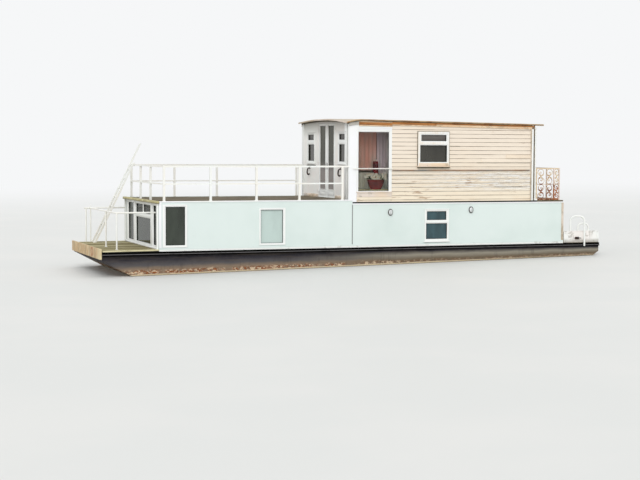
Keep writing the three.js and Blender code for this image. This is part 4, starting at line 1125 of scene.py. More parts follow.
def make_strake_bars():
    """A flat plate over a half-round rubbing bar, along both sides and round the transom."""
    low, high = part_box("rubbing_strake")
    out = high.y - HALF_BEAM
    middle, stern = low.z + STRAKE_BAR, HULL_HIGH.x
    parts = []
    for sign in (-1, 1):
        face = sign * HALF_BEAM
        parts += [
            bar((low.x, face, middle), (high.x - 0.012, face + sign * STRAKE_PLATE_OUT, high.z), 0.008),
            bar((low.x, face, low.z), (high.x - 0.004, face + sign * out, middle), 0.019, 4),
        ]
    parts += [
        bar((stern, -HALF_BEAM, middle), (high.x - 0.004, HALF_BEAM, high.z), 0.004),
        bar((stern, -HALF_BEAM, low.z), (high.x, HALF_BEAM, middle), 0.006),
    ]
    hand_in(parts, "strake_bars", "strake_paint", replaces=["rubbing_strake"])


def make_hull_seams():
    """Weld seams between the hull plates, and bars along the raked bow edges."""
    parts = []
    for sign in (-1, 1):
        side, face = sign * (HALF_BEAM - 0.004), sign * (HALF_BEAM - 0.001)
        foot, head = (RAKE_FOOT[0], side, RAKE_FOOT[1]), (HULL_LOW.x + 0.006, side, RAKE_TOP)
        parts.append(smooth(tube([foot, head], 0.013, 2, "VECTOR")))
        for x in SEAM_PLACES:
            parts.append(smooth(tube([(x, face, 0.02), (x, face, HULL_TOP)], 0.005, 1, "VECTOR")))
    hand_in(parts, "hull_weld_seams", "hull_side")


def lay_planks(node, name, seed):
    """Fore-and-aft planks on a dark bed, each with its own tone and height."""
    low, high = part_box(node)
    chance = random.Random(seed)
    count = round((high.y - low.y) / sizes().plank)
    width = (high.y - low.y) / count
    start = (low.x, low.y + PLANK_GAP / 2, high.z - PLANK_THICKNESS)
    first = tint(bar(start, (high.x, low.y + width - PLANK_GAP / 2, high.z), 0.004), 0.5)
    planks = [first]
    for row in range(1, count):
        plank = copied(first, (0, row * width, -chance.uniform(0, PLANK_DROP)))
        planks.append(tint(plank, chance.random()))
    hand_in(planks, name, "deck_boards", replaces=[node])
    bed = bar(low, (high.x, high.y, high.z - PLANK_THICKNESS - 0.001), 0.003)
    hand_in([bed], f"{name}_bed", "glazing_rubber")


def make_bow_board():
    """The board across the bow, with softened ends."""
    board = block(*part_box("bow_fascia"))
    shape_with(board, "SUBSURF", subdivision_type="SIMPLE", levels=3, render_levels=3)
    soften(board, 0.01, 3)
    hand_in([board], "bow_board", "bow_board_paint", replaces=["bow_fascia"])


def make_deck_edge():
    """The pale cappings along the foredeck's sides, which slope down at the bow."""
    low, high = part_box("foredeck")
    caps = []
    for sign in (-1, 1):
        inner, outer = sign * (HALF_BEAM - 0.05), sign * (HALF_BEAM + 0.012)
        cap = block((low.x + 0.02, inner, high.z - 0.03), (high.x - 0.005, outer, high.z + 0.014))
        caps.append(soften(nudge(cap, lambda co: co.x < low.x + 0.03, (0.0, 0, -0.012)), 0.005))
    hand_in(caps, "deck_edge_caps", "pale_timber")


# Windows

# How far a frame stands out from its wall and reaches into it, and how far a clapboard's foot stands out
FRAME_PROUD = 0.024
FRAME_BACK = 0.032
BOARD_BUTT = 0.014

# Each window: name, wall, outline and panes from start to end and from bottom to top, how proud, sill's depth
WINDOWS = (
    (
        "lower_window_bow", NEAR, (-6.260, -5.539, 1.108, 2.339),
        ((-6.172, -5.601, 1.169, 2.275),), FRAME_PROUD, 0.0,
    ),
    (
        "lower_window_middle", NEAR, (-3.364, -2.558, 1.126, 2.215),
        ((-3.312, -2.630, 1.181, 2.159),), FRAME_PROUD, 0.0,
    ),
    (
        "lower_window_stern", NEAR, (1.940, 2.748, 1.144, 2.128),
        ((1.991, 2.693, 1.213, 1.690), (2.014, 2.667, 1.792, 2.060)), FRAME_PROUD, 0.03,
    ),
    (
        "upper_window_large", NEAR, (-0.310, 0.820, 2.560, 4.520),
        ((-0.250, 0.735, 2.693, 4.460),), FRAME_PROUD, 0.0,
    ),
    (
        "upper_window_side", NEAR, (1.690, 2.733, 3.441, 4.483),
        ((1.767, 2.660, 3.563, 4.075), (1.800, 2.640, 4.200, 4.390)), FRAME_PROUD + BOARD_BUTT, 0.06,
    ),
    (
        "front_window_near", FRONT, (1.200, 1.880, 3.500, 4.470),
        ((1.265, 1.815, 3.570, 4.090), (1.265, 1.755, 4.230, 4.400)), FRAME_PROUD, 0.04,
    ),
    (
        "front_window_far", FRONT, (-1.535, -0.855, 3.500, 4.470),
        ((-1.475, -0.915, 3.570, 4.090), (-1.480, -0.960, 4.230, 4.400)), FRAME_PROUD, 0.04,
    ),
)
TIMBER_CASED = "upper_window_side"

# Each far window: name, outline on the far side from bow to stern and from bottom to top, its boards' butt
FAR_FRAMES = (
    ("far_window_bow", -3.364, -2.558, 1.126, 2.215, 0.0),
    ("far_window_stern", 1.940, 2.748, 1.144, 2.128, 0.0),
    ("far_window_upper", 1.690, 2.733, 3.441, 4.483, BOARD_BUTT),
)
# Their rails' width, how far they reach into the wall, and their top lights' share of the height
FAR_RAIL = 0.065
FAR_BACK = 0.024
TOP_LIGHT_SHARE = 0.3

# Panes of the bow screen, seen from ahead: start, end, bottom, top
SCREEN_PANES = (
    (-1.845, -1.150, 1.150, 2.290),
    (-0.815, 1.010, 1.150, 1.890),
    (-0.815, 0.060, 2.015, 2.285),
    (0.150, 1.010, 2.015, 2.285),
    (1.365, 1.725, 1.150, 2.290),
)
SCREEN_TOP_LIGHTS = SCREEN_PANES[2:4]
# The screen's raised posts: middle and half width
SCREEN_POSTS = ((-1.97, 0.05), (-0.98, 0.06), (1.1875, 0.07), (1.89, 0.06))
SLAT_PITCH = 0.024


def frame_finish(wall):
    """The finish of the white frames on a wall."""
    return "front_frame_paint" if wall is FRONT else "frame_paint"


def grown(pane, by):
    """A pane's outline, larger all round."""
    return pane[0] - by, pane[1] + by, pane[2] - by, pane[3] + by


def casing(outline, panes, front, back):
    """The outer frame, cut for each sash."""
    start, end, bottom, top = outline
    outer = block((start, front, bottom), (end, back, top))
    for pane in panes:
        left, right, low, high = grown(pane, sizes().sash)
        cut(outer, (left, front - 1, low), (right, back + 1, high))
    return soften(outer)


def sash_rings(panes, front, back):
    """A sash ring with a raised inner bead for each pane."""
    sash, bead = sizes().sash, 0.011
    rings = []
    for pane in panes:
        outer = ring(grown(pane, bead), sash - bead + 0.002, front + 0.010, back - 0.001)
        inner = ring(pane, bead + 0.001, front + 0.016, back - 0.001)
        rings += [soften(outer, 0.003), soften(inner, 0.004)]
    return rings


def glazing_rubber(panes, front, back):
    """A thin rubber around the glass of each pane."""
    return [ring(grown(pane, -0.006), 0.009, front, back) for pane in panes]


def sill_board(start, end, top, out, thickness=0.034):
    """A sill that sheds water: its outer top edge is lower."""
    board = block((start, -out, top - thickness), (end, 0.0, top))
    nudge(board, lambda co: co.y < -out + 0.001 and co.z > top - 0.001, (0, 0, -0.012))
    return soften(board, 0.004)


def make_windows():
    """Every near and front window: casing, sashes, sill and glazing rubber."""
    for name, wall, outline, panes, proud, sill in WINDOWS:
        start, end, foot, head = outline
        outer = [casing(outline, panes, -proud, FRAME_BACK)]
        sashes = sash_rings(panes, -proud, FRAME_BACK)
        if sill:
            board = sill_board(start - 0.03, end + 0.03, foot + 0.012, proud + sill)
        if name == TIMBER_CASED:
            hand_in(outer, f"{name}_casing", "casing_timber", wall)
            apron_top = panes[0][2] - sizes().sash - 0.004
            apron = bar((start + 0.02, -proud - 0.006, foot), (end - 0.02, 0, apron_top), 0.003)
            hand_in([board, apron], f"{name}_sill", "trim_paint", wall)
            # A dark outline round the casing, and a dark bar that paints the shadow under the sill
            outline_and_sill_shadow = [
                soften(ring(outline, 0.013, 0.008 - proud, 0.003), 0.002),
                bar((start - 0.013, -proud - 0.02, foot - 0.062), (end + 0.013, 0, foot - 0.023), 0.003),
            ]
            hand_in(outline_and_sill_shadow, f"{name}_edging", "groove_and_shade_grey", wall)
            outer = []
        elif sill:
            drip = bar((start - 0.015, -proud - 0.012, head - 0.008), (end + 0.015, 0, head + 0.012), 0.003)
            outer += [board, drip]
        hand_in(
            outer + sashes, f"{name}_frame_detail", frame_finish(wall), wall,
            replaces=[f"{name}_frame"],
        )
        rubber = glazing_rubber(panes, 0.022 - proud, FRAME_BACK)
        hand_in(rubber, f"{name}_rubber", "glazing_rubber", wall)


def lead_lines(pane, columns, rows, depth, wall):
    """Crossed lead cames over a small pane."""
    start, end, bottom, top = pane
    half = 0.005
    parts = []
    for column in range(1, columns):
        at = start + (end - start) * column / columns
        parts.append(bar((at - half, depth, bottom), (at + half, depth + 0.008, top), 0.002, 1))
    for row in range(1, rows):
        at = bottom + (top - bottom) * row / rows
        parts.append(bar((start, depth - 0.001, at - half), (end, depth + 0.009, at + half), 0.002, 1))
    return placed(joined(parts), wall)


def make_leaded_lights():
    """Lead cames in the front windows' top panes and in the bow screen's top lights."""
    tops = [panes[1] for name, wall, outline, panes, proud, sill in WINDOWS if wall is FRONT]
    lights = [lead_lines(pane, 4, 2, 0.018, FRONT) for pane in tops]
    lights += [lead_lines(pane, 5, 3, 0.034, BOW) for pane in SCREEN_TOP_LIGHTS]
    hand_in(lights, "leaded_lights", "lead_grey")


def make_far_windows():
    """Frames of the far side's windows, with a top light each."""
    for name, start, end, bottom, top, butt in FAR_FRAMES:
        rail = top - (top - bottom) * TOP_LIGHT_SHARE
        left, right, front = -end + FAR_RAIL, -start - FAR_RAIL, -FRAME_PROUD - butt
        panes = ((left, right, bottom + FAR_RAIL, rail - 0.03), (left, right, rail + 0.03, top - FAR_RAIL))
        parts = [casing((-end, -start, bottom, top), panes, front, FAR_BACK)]
        parts += sash_rings(panes, front, FAR_BACK)
        parts.append(sill_board(-end - 0.03, -start + 0.03, bottom + 0.012, 0.06))
        hand_in(parts, f"{name}_frame_detail", "frame_paint", FAR)


def make_bow_screen():
    """The glazed screen: frame, sashes, raised posts between the lights, and a bottom sill."""
    low, high = SCREEN_LOW, SCREEN_HIGH
    thickness = high.x - low.x
    parts = [casing((low.y, high.y, low.z, high.z), SCREEN_PANES, 0.012, thickness)]
    parts += sash_rings(SCREEN_PANES, 0.0, thickness)
    for at, half in SCREEN_POSTS:
        parts.append(bar((at - half, -0.004, low.z + 0.1), (at + half, 0.02, high.z - 0.03), 0.006))
    parts.append(bar((-0.92, -0.004, 1.925), (1.118, 0.02, 1.98), 0.005))
    parts.append(sill_board(low.y + 0.01, high.y - 0.01, low.z + 0.105, 0.045, 0.05))
    hand_in(
        parts, "bow_screen_frame_detail", "frame_paint", BOW, replaces=["bow_screen_frame"]
    )
    rubber = glazing_rubber(SCREEN_PANES, 0.030, thickness)
    hand_in(rubber, "bow_screen_rubber", "glazing_rubber", BOW)


def make_blind():
    """A lowered slatted blind behind the screen's middle pane."""
    start, end, bottom, top = SCREEN_PANES[1]
    left, right = start - 0.02, end + 0.02
    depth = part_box("bow_screen_glass")[1].x - SCREEN_LOW.x + 0.025
    slat = block((left, depth, bottom), (right, depth + 0.022, bottom + 0.002))
    soften(nudge(slat, lambda co: co.y > depth + 0.01, (0, 0, 0.014)), 0.0006, 1)
    parts = [slat]
    for row in range(1, int((top - bottom) / SLAT_PITCH) + 1):
        parts.append(copied(slat, (0, 0, row * SLAT_PITCH)))
    for at in (start + 0.2, (start + end) / 2, end - 0.2):
        parts.append(rod((at, depth + 0.011, bottom), (at, depth + 0.011, top + 0.03), 0.0015, 6))
    parts.append(bar((left, depth - 0.002, top + 0.01), (right, depth + 0.026, top + 0.04), 0.004))
    hand_in(parts, "screen_blind", "blind_slats", BOW)


# Lower cabin

# Trims on the lower walls: wall, start, end, bottom, top, out, finish
WALL_TRIMS = (
    (NEAR, -6.368, -0.432, 2.402, 2.436, 0.016, "panel_paint"),
    (NEAR, -0.428, 6.760, 2.288, 2.321, 0.016, "panel_paint"),
    (NEAR, -6.368, -6.296, 1.101, 2.401, 0.012, "panel_paint"),
    (NEAR, -0.446, -0.420, 1.101, 2.287, 0.004, "seam_grey"),
    # A dark strip that paints the shade in the joint under the upper cabin
    (NEAR, -0.428, 5.800, 2.3225, 2.364, 0.003, "glazing_rubber"),
    (NEAR, 6.690, 6.762, 1.101, 2.287, 0.012, "corner_paint"),
    (FAR, -6.760, 6.368, 2.288, 2.321, 0.012, "panel_paint"),
    (FAR, -6.762, -6.690, 1.101, 2.287, 0.012, "corner_paint"),
    (FAR, 6.296, 6.368, 1.101, 2.287, 0.012, "panel_paint"),
)
TRIM_SLOTS = {
    "panel_paint": "white_paint", "corner_paint": "cream_paint", "seam_grey": "mint_panel",
    "glazing_rubber": "roof_felt",
}
LIGHT_HALF_WIDTH = 0.080
LIGHT_HALF_HEIGHT = 0.105
# The width of one strip of felt, and how far it laps the next
FELT_WIDTH = 0.98
FELT_LAP = 0.01


def make_wall_trims():
    """Cappings, corner trims, the seam's cover, and a dark strip that paints the shade in the joint under the
    upper cabin.
    """
    for finish, slot in TRIM_SLOTS.items():
        strips = []
        for wall, start, end, bottom, top, out, coat in WALL_TRIMS:
            if coat == finish:
                strips.append(placed(bar((start, -out, bottom), (end, 0.003, top), 0.001), wall))
        hand_in(strips, f"lower_wall_trims_{slot}", finish)


def make_bulkhead_lights():
    """Oval bulkhead lights: back plate, rim, frosted dome and guard bars."""
    radius, mesh = LIGHT_HALF_WIDTH, bpy.ops.mesh
    for node in ("bulkhead_light_bow", "bulkhead_light_stern"):
        low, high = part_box(node)
        middle = Vector(((low.x + high.x) / 2, -0.013, (low.z + high.z) / 2))
        oval = Matrix.Diagonal((1, 1, LIGHT_HALF_HEIGHT / LIGHT_HALF_WIDTH, 1))
        plate = added(mesh.primitive_cylinder_add, vertices=48, radius=radius, depth=0.026, rotation=UPRIGHT)
        rim = added(
            mesh.primitive_torus_add, major_segments=48, minor_segments=12, major_radius=radius * 0.78,
            minor_radius=0.011, rotation=UPRIGHT, location=(0, -0.018, 0),
        )
        guards = [rod((at, -0.052, -0.05), (at, -0.052, 0.05), 0.004, 8) for at in (-0.022, 0.022)]
        body = joined([soften(plate, 0.008, 3), rim, *guards])
        dome = added(
            mesh.primitive_uv_sphere_add, (1, 0.55, 1), segments=32, ring_count=16, radius=radius * 0.76,
            location=(0, -0.012, 0),
        )
        for piece in (body, dome):
            piece.data.transform(Matrix.Translation(middle) @ oval)
            smooth(piece)
        hand_in([body], f"{node}_body", "lamp_rim", NEAR, replaces=[node])
        hand_in([dome], f"{node}_dome", "frosted_dome", NEAR)


def make_felt_laps():
    """Overlapping felt strips across the roof deck."""
    low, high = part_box("roof_deck")
    chance = random.Random(41)
    strips = []
    at = low.x + 0.02
    while at < high.x - 0.2:
        stop = min(at + FELT_WIDTH, high.x - 0.01)
        strip = block((at, low.y + 0.01, high.z), (stop, high.y - 0.01, high.z + 0.002))
        nudge(strip, lambda co: co.x > stop - 0.01 and co.z > high.z + 0.001, (0.012, 0, 0.004))
        strips.append(tint(soften(strip, 0.001, 1), chance.random()))
        at = stop - FELT_LAP
    hand_in(strips, "roof_deck_felt", "mineral_felt")


# Upper cabin

# How far a board laps the next, how much one may stand out more, its lengths and the shortest that is left
LAP = 0.004
BOARD_LIFT = 0.0025
BOARD_LENGTHS = (2.6, 4.6)
SHORTEST_BOARD = 0.8
# Outlines of the holes for the side window and the balcony door, and the door casing's width
SIDE_HOLE = (1.700, 2.723, 3.451, 4.473)
BACK_DOOR = (-0.350, 0.430, 2.430, 4.500)
BACK_CASING = 0.075
# Laps on the near side that have opened, each with a dark strip under it that paints its shadow: start, end,
# height of the board's lower edge
OPEN_LAPS = (
    (0.845, 1.605, 2.924), (2.740, 3.110, 4.049), (3.690, 5.540, 3.549), (4.300, 5.300, 2.799),
    (0.850, 2.200, 3.174),
)
# The back corners' boards, and the tan trims that end the siding and paint the shade there: start and end
# from amidships
BACK_CORNER = (5.598, 5.652)
BACK_TRIM = (5.560, 5.597)
# Where along the roof their tops are taken from
BACK_PLACE = 5.6
FRONT_FOOT = 2.425
# On the front wall, battens with how far they stand out, and the grooves between them: start and end
FRONT_BATTENS = (
    (1.765, 1.835, 0.028), (1.885, 1.935, 0.030), (1.985, 2.060, 0.018), (-1.930, -1.885, 0.022),
    (-2.060, -1.985, 0.018),
)
FRONT_GROOVES = ((1.836, 1.884), (1.936, 1.984), (-1.984, -1.931))
GROOVE_OUT = 0.005
# Boards round the large window: bottom, top and how far out
PANEL_START, PANEL_END = -0.300, 0.838
WHITE_BOARDS = ((4.530, 4.572, 0.012), (4.578, 4.622, 0.016))
CREAM_BOARDS = ((2.370, 2.421, 0.014), (2.422, 2.508, 0.018))
BEIGE_BOARDS = ((2.510, 2.575, 0.028), (2.577, 2.640, 0.026))
# Basket hooks: places across, and the line from the wall down and up again as across, out and height
HOOK_PLACES = (-1.337, 1.405)
HOOK_LINE = (
    (0, -0.004, 3.345), (0, -0.055, 3.330), (0, -0.085, 3.250), (0.01, -0.085, 3.160),
    (0.035, -0.06, 3.125), (0.05, -0.035, 3.165),
)
# The front wall's base boards, and the dark bars under its windows' sills that paint their shadows: start and
# end
BASE_BOARDS = ((0.915, 1.76), (-1.88, -0.56))
SILL_SHADOW_BARS = ((1.15, 1.93), (-1.585, -0.805))
# Fascia strips: wall, start, end, drop below the roof's top from and to, out, finish
FASCIA_STRIPS = (
    # A dark strip under the near side's rim that paints its shade
    (NEAR, -0.563, 5.668, 0.0315, 0.052, 0.020, "groove_and_shade_grey"),
    (NEAR, -0.240, 0.838, 0.054, 0.078, 0.030, "fascia_paint"),
    (NEAR, -0.240, 0.838, 0.080, 0.162, 0.034, "fascia_boards"),
    (NEAR, -0.240, 0.838, 0.164, 0.196, 0.026, "fascia_paint"),
    (NEAR, 0.839, 2.300, 0.054, 0.124, 0.034, "fascia_boards"),
    (NEAR, 0.839, 2.300, 0.126, 0.156, 0.026, "fascia_paint"),
    (NEAR, 2.301, 5.668, 0.048, 0.092, 0.034, "fascia_boards"),
    (NEAR, 2.301, 5.668, 0.094, 0.156, 0.026, "fascia_paint"),
    (NEAR, -0.563, -0.244, 0.054, 0.148, 0.028, "front_paint"),
    (FAR, -5.668, 0.560, 0.0315, 0.082, 0.034, "fascia_boards"),
    (FAR, -5.668, 0.560, 0.084, 0.150, 0.026, "fascia_paint"),
)
SHEET_LAPS = (0.35, 1.35, 2.35, 3.35, 4.35, 5.35)


def clapboards(start, end, bottom, top, seed):
    """Rows of lapped boards on the near wall's frame, in long lengths with their own tones."""
    chance = random.Random(seed)
    pitch = sizes().board_pitch
    boards = []
    edge = FIRST_LAP
    while edge < top:
        low, high = max(edge, bottom), min(edge + pitch, top) + LAP
        at = start
        while at < end:
            stop = min(at + chance.uniform(*BOARD_LENGTHS), end)
            if end - stop < SHORTEST_BOARD:
                stop = end
            lift = chance.uniform(0, BOARD_LIFT)
            butt = BOARD_BUTT * (edge + pitch - low) / pitch
            board = block((at + 0.0005, -butt - lift, low), (stop - 0.0005, 0.004, high))
            nudge(board, lambda co: co.y < 0 and co.z > high - 0.001, (0, butt - 0.002 + lift, 0))
            boards.append(tint(board, chance.random()))
            at = stop
        edge += pitch
    return soften(joined(boards), 0.002)


def siding_wall(node, wall, start, end, name, seed, hole):
    """A clapboard wall in its frame: backing, boards and the window's hole, trimmed under the roof."""
    low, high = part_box(node)
    boards = clapboards(start, end, low.z, high.z, seed)
    backing = tint(block((start, 0.003, low.z), (end, WALL_THICKNESS, high.z)), 0.3)
    left, right, foot, head = hole
    for piece in (boards, backing):
        placed(cut(piece, (left, -1, foot), (right, 1, head)), wall)
    whole = joined([boards, backing])
    trimmed(whole, (0, 0, roof_under(0.0) - 0.001), (ROOF_SLOPE, 0, 1))
    for bend, following in zip(ROOF_BENDS, ROOF_BENDS[1:]):
        first, last = roof_under(bend, high.y), roof_under(following, high.y)
        trimmed(whole, (bend, 0, first - 0.001), (first - last, 0, following - bend))
    hand_in([whole], name, "siding_boards", replaces=[node])


def make_siding_walls():
    """The clapboard walls on the near and far sides."""
    left, right, foot, head = SIDE_HOLE
    siding_wall("upper_wall_near_siding", NEAR, SIDING_START, CABIN_BACK, "near_clapboards", 11, SIDE_HOLE)
    far_hole = (-right, -left, foot, head)
    siding_wall("upper_wall_far", FAR, -CABIN_BACK, -CABIN_FRONT, "far_clapboards", 12, far_hole)


def make_open_laps():
    """Dark strips that paint the shadow in the gaps under the boards that have come away."""
    gaps = [
        bar((start, -0.010, edge - 0.009), (end, -0.001, edge + 0.001), 0.001)
        for start, end, edge in OPEN_LAPS
    ]
    hand_in(gaps, "open_laps", "groove_and_shade_grey", NEAR)


def make_back_boards():
    """Boards over the back wall, and the door's plain casing."""
    low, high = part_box("upper_wall_back")
    boards = clapboards(-high.y, high.y, low.z, roof_under(CABIN_BACK) - 0.01, 13)
    left, right, foot, head = grown(BACK_DOOR, BACK_CASING)
    cut(boards, (left, -1, foot - 0.2), (right, 0.5, head))
    hand_in([boards], "back_clapboards", "siding_boards", BACK)
    door_casing = soften(ring(grown(BACK_DOOR, 0.012), BACK_CASING - 0.014, -0.006, 0.001), 0.002)
    hand_in([door_casing], "balcony_door_casing", "frame_paint", BACK)


def front_strip(start, end, out, x, width):
    """A strip up the front wall that ends under the roof's height at a place along it."""
    top = min(roof_under(x, start), roof_under(x, -end)) - 0.003
    return placed(bar((start, -out, FRONT_FOOT), (end, 0, top), width), FRONT)


def make_corner_boards():
    """White corner boards of the upper cabin, and the battens with dark grooves at its front corners."""
    back = roof_under(BACK_PLACE)
    white, ends = [], []
    for wall, sign in ((NEAR, 1), (FAR, -1)):
        start, end = (sign * at for at in BACK_CORNER)
        white.append(placed(bar((start, -0.026, CABIN_FLOOR), (end, 0, back - 0.004), 0.004), wall))
        # Tan strips at the siding's ends that paint the shade before the corner boards
        start, end = (sign * at for at in BACK_TRIM)
        ends.append(placed(bar((start, -0.0185, CABIN_FLOOR), (end, 0, back - 0.13), 0.003), wall))
    far_front = bar((0.470, -0.022, FRONT_FOOT), (0.545, 0, roof_under(-0.545) - 0.004), 0.004)
    white.append(placed(far_front, FAR))
    white += [front_strip(start, end, out, CABIN_FRONT - out, 0.004) for start, end, out in FRONT_BATTENS]
    hand_in(white, "corner_boards", "frame_paint")
    hand_in(ends, "siding_end_trims", "corner_paint")
    grooves = [front_strip(start, end, GROOVE_OUT, CABIN_FRONT, 0.001) for start, end in FRONT_GROOVES]
    hand_in(grooves, "corner_grooves", "groove_and_shade_grey")


def make_near_panel_boards():
    """White boards over the large window, a sill and a pinkish band under it, and cream boards below that."""
    white, cream, beige = [
        [bar((PANEL_START, -out, bottom), (PANEL_END, 0, top), 0.003) for bottom, top, out in rows]
        for rows in (WHITE_BOARDS, CREAM_BOARDS, BEIGE_BOARDS)
    ]
    beige.append(sill_board(-0.318, PANEL_END, 2.678, 0.048, 0.036))
    for board in cream:
        tint(board, 0.2)
    hand_in(white, "large_window_boards", "panel_paint", NEAR)
    hand_in(beige, "large_window_sill", "trim_paint", NEAR)
    hand_in(cream, "large_window_laps", "siding_boards", NEAR)


def make_front_details():
    """Basket hooks, dark bars under the front windows' sills that paint their shadows, and worn base boards.
    """
    hooks = []
    for place in HOOK_PLACES:
        for shift, radius in ((0.0, 0.019), (-0.050, 0.009)):
            line = [(place + shift + across, out, height) for across, out, height in HOOK_LINE]
            hooks.append(tube(line, radius))
        hooks.append(bar((place - 0.03, -0.006, 3.31), (place + 0.02, 0, 3.39), 0.002))
    hand_in(hooks, "basket_hooks", "black_iron", FRONT)
    boards = [bar((start, -0.016, 2.426), (end, 0, 2.53), 0.004) for start, end in BASE_BOARDS]
    hand_in(boards, "front_base_boards", "front_base_paint", FRONT)
    sill_shadows = [bar((start, -0.020, 3.398), (end, 0, 3.437), 0.002) for start, end in SILL_SHADOW_BARS]
    hand_in(sill_shadows, "front_drip_bars", "black_iron", FRONT)


def end_board(front, back, bottom, value):
    """A board across an end of the roof that follows its camber."""
    half = HALF_BEAM + 0.012
    board = block((front, -half, -bottom), (back, half, -ROOF_THICKNESS - 0.002))
    return tint(soften(laid_on_roof(board), 0.003), value)


def make_fascia():
    """Weathered fascia strips under each side of the roof, and arched boards at its ends."""
    chance = random.Random(31)
    ends = {
        "fascia_boards": [end_board(CABIN_BACK + 0.004, CABIN_BACK + 0.020, 0.140, 0.6)],
        # A dark board under the front rim that paints its shade
        "groove_and_shade_grey": [end_board(CABIN_FRONT - 0.0195, CABIN_FRONT - 0.004, 0.086, 0.2)],
    }
    for finish, slot, replaced in (
        ("fascia_boards", "bare_timber", ["roof_fascia"]), ("fascia_paint", "cladding", []),
        ("front_paint", "cream_paint", []), ("groove_and_shade_grey", "black_paint", []),
    ):
        strips = ends.get(finish, [])
        for wall, start, end, top, bottom, out, coat in FASCIA_STRIPS:
            if coat == finish:
                strip = laid_on_roof(placed(block((start, -out, -bottom), (end, -0.0145, -top)), wall))
                strips.append(tint(soften(strip, 0.003), chance.random()))
        hand_in(strips, f"roof_fascia_{slot}", finish, replaces=replaced)


def make_roof_edges():
    """A pale strip along the top of each side of the roof, and a pinkish rim over each end."""
    edge, sides, ends = ROOF_HIGH.y - 0.002, [], []
    for sign in (-1, 1):
        start = (ROOF_LOW.x + 0.001, sign * (ROOF_HIGH.y - 0.055), -0.004)
        strip = block(start, (ROOF_HIGH.x - 0.001, sign * (ROOF_HIGH.y - 0.001), 0.006))
        sides.append(soften(laid_on_roof(strip), 0.003))
        x = (ROOF_LOW, ROOF_HIGH)[sign > 0].x
        rim = block((x + sign * 0.006, -edge, -0.046), (x + sign * 0.0005, edge, -0.0015))
        ends.append(soften(laid_on_roof(rim), 0.002))
    hand_in(sides, "roof_edge_strips", "roof_edge")
    hand_in(ends, "roof_end_rims", "front_rim")


def make_roof_laps():
    """Laps of the roof's sheets, which follow its camber."""
    reach = ROOF_HIGH.y - 0.06
    places = [max(-reach, min(reach, station * ROOF_HIGH.y)) for station in CAMBER_STATIONS]
    laps = [
        tube([(x, y, roof_top(x, y) + 0.001) for y in places], 0.006, 2, "VECTOR") for x in SHEET_LAPS
    ]
    hand_in(laps, "roof_laps", "roof_sheet")


# Doors

# Each leaf: name, body, wall, leaf and glass outlines, its handle's place, and the way its lever points
LEAVES = (
    (
        "french_door_near", "french_leaf_near", FRONT, (0.183, 0.902, 2.436, 4.739),
        (0.290, 0.797, 2.700, 4.665), 0.236, 1,
    ),
    (
        "french_door_far", "french_leaf_far", FRONT, (-0.542, 0.177, 2.436, 4.739),
        (-0.437, 0.070, 2.700, 4.665), 0.124, -1,
    ),
    (
        "balcony_door", "balcony_leaf", BACK, (-0.344, 0.424, 2.436, 4.494),
        (-0.225, 0.305, 3.364, 4.336), 0.365, -1,
    ),
)
STERN_LEAF = (-0.394, 0.394, 1.086, 2.244)
# How far a leaf's face lies behind its wall's, and the height of the handles on the upper floor
FACE = 0.005
HANDLE_HEIGHT = 3.42


def lever_handle(across, up, way):
    """A back plate, a spindle and a lever with a turned end."""
    height = up + 0.03
    line = (
        (across, FACE - 0.048, height), (across + way * 0.06, FACE - 0.052, height + 0.002),
        (across + way * 0.115, FACE - 0.040, height - 0.006),
    )
    return [
        bar((across - 0.018, FACE - 0.007, up - 0.11), (across + 0.018, FACE, up + 0.11), 0.003),
        soften(rod((across, FACE - 0.05, height), (across, FACE, height), 0.010), 0.002),
        tube(line, 0.008),
    ]


def raised_panel(panel, border, proud, inset, field_proud):
    """A bead round a door's panel and the raised field inside it."""
    left, right, foot, head = grown(panel, -inset)
    return [
        soften(ring(panel, -border, FACE - proud, FACE + 0.004), 0.002),
        bar((left, FACE - field_proud, foot), (right, FACE + 0.002, head), 0.003),
    ]


def drip_bar(start, end, bottom, height):
    """A bar along the foot of a leaf that sheds water."""
    return bar((start, FACE - 0.016, bottom + 0.004), (end, FACE + 0.002, bottom + height), 0.004)


def make_door_details():
    """Beads round the doors' glass, raised panels below it and lever handles."""
    for name, body, wall, leaf_outline, glass, across, way in LEAVES:
        start, end, bottom = leaf_outline[:3]
        parts = [soften(ring(glass, 0.014, FACE - 0.009, FACE + 0.004), 0.003)]
        panel = (start + 0.11, end - 0.11, bottom + 0.05, glass[2] - 0.06)
        parts += raised_panel(panel, 0.014, 0.006, 0.03, 0.004)
        parts.append(drip_bar(start + 0.01, end - 0.03, bottom, 0.032))
        hand_in(parts, f"{name}_beads", frame_finish(wall), wall, body)
        handle = lever_handle(across, HANDLE_HEIGHT, way)
        hand_in(handle, f"{name}_handle", "handle_metal", wall, body)


def make_stern_door_details():
    """Two raised panels, a drip bar and a handle on the stern door."""
    start, end, bottom, top = STERN_LEAF
    middle = (bottom + top) / 2
    parts = []
    for low, high in ((bottom + 0.09, middle - 0.05), (middle + 0.05, top - 0.09)):
        parts += raised_panel((start + 0.12, end - 0.12, low, high), 0.016, 0.008, 0.035, 0.005)
    parts.append(drip_bar(start + 0.01, end - 0.02, bottom, 0.03))
    hand_in(parts, "stern_door_panels", "frame_paint", STERN, "stern_leaf")
    handle = lever_handle(end - 0.055, middle, -1)
    hand_in(handle, "stern_door_handle", "handle_metal", STERN, "stern_leaf")


# Inside the large window

# Curtains: name, start, end, bottom, top, depth behind the frame, folds, swing, seed
CURTAINS = (
    ("red_curtain", -0.200, 0.560, 3.30, 4.475, 0.53, 6, 0.014, 51),
    ("grey_curtain", 0.580, 1.080, 3.20, 4.475, 0.53, 5, 0.012, 52),
    ("net_curtain", -0.200, 1.080, 2.60, 3.240, 0.60, 14, 0.010, 53),
)
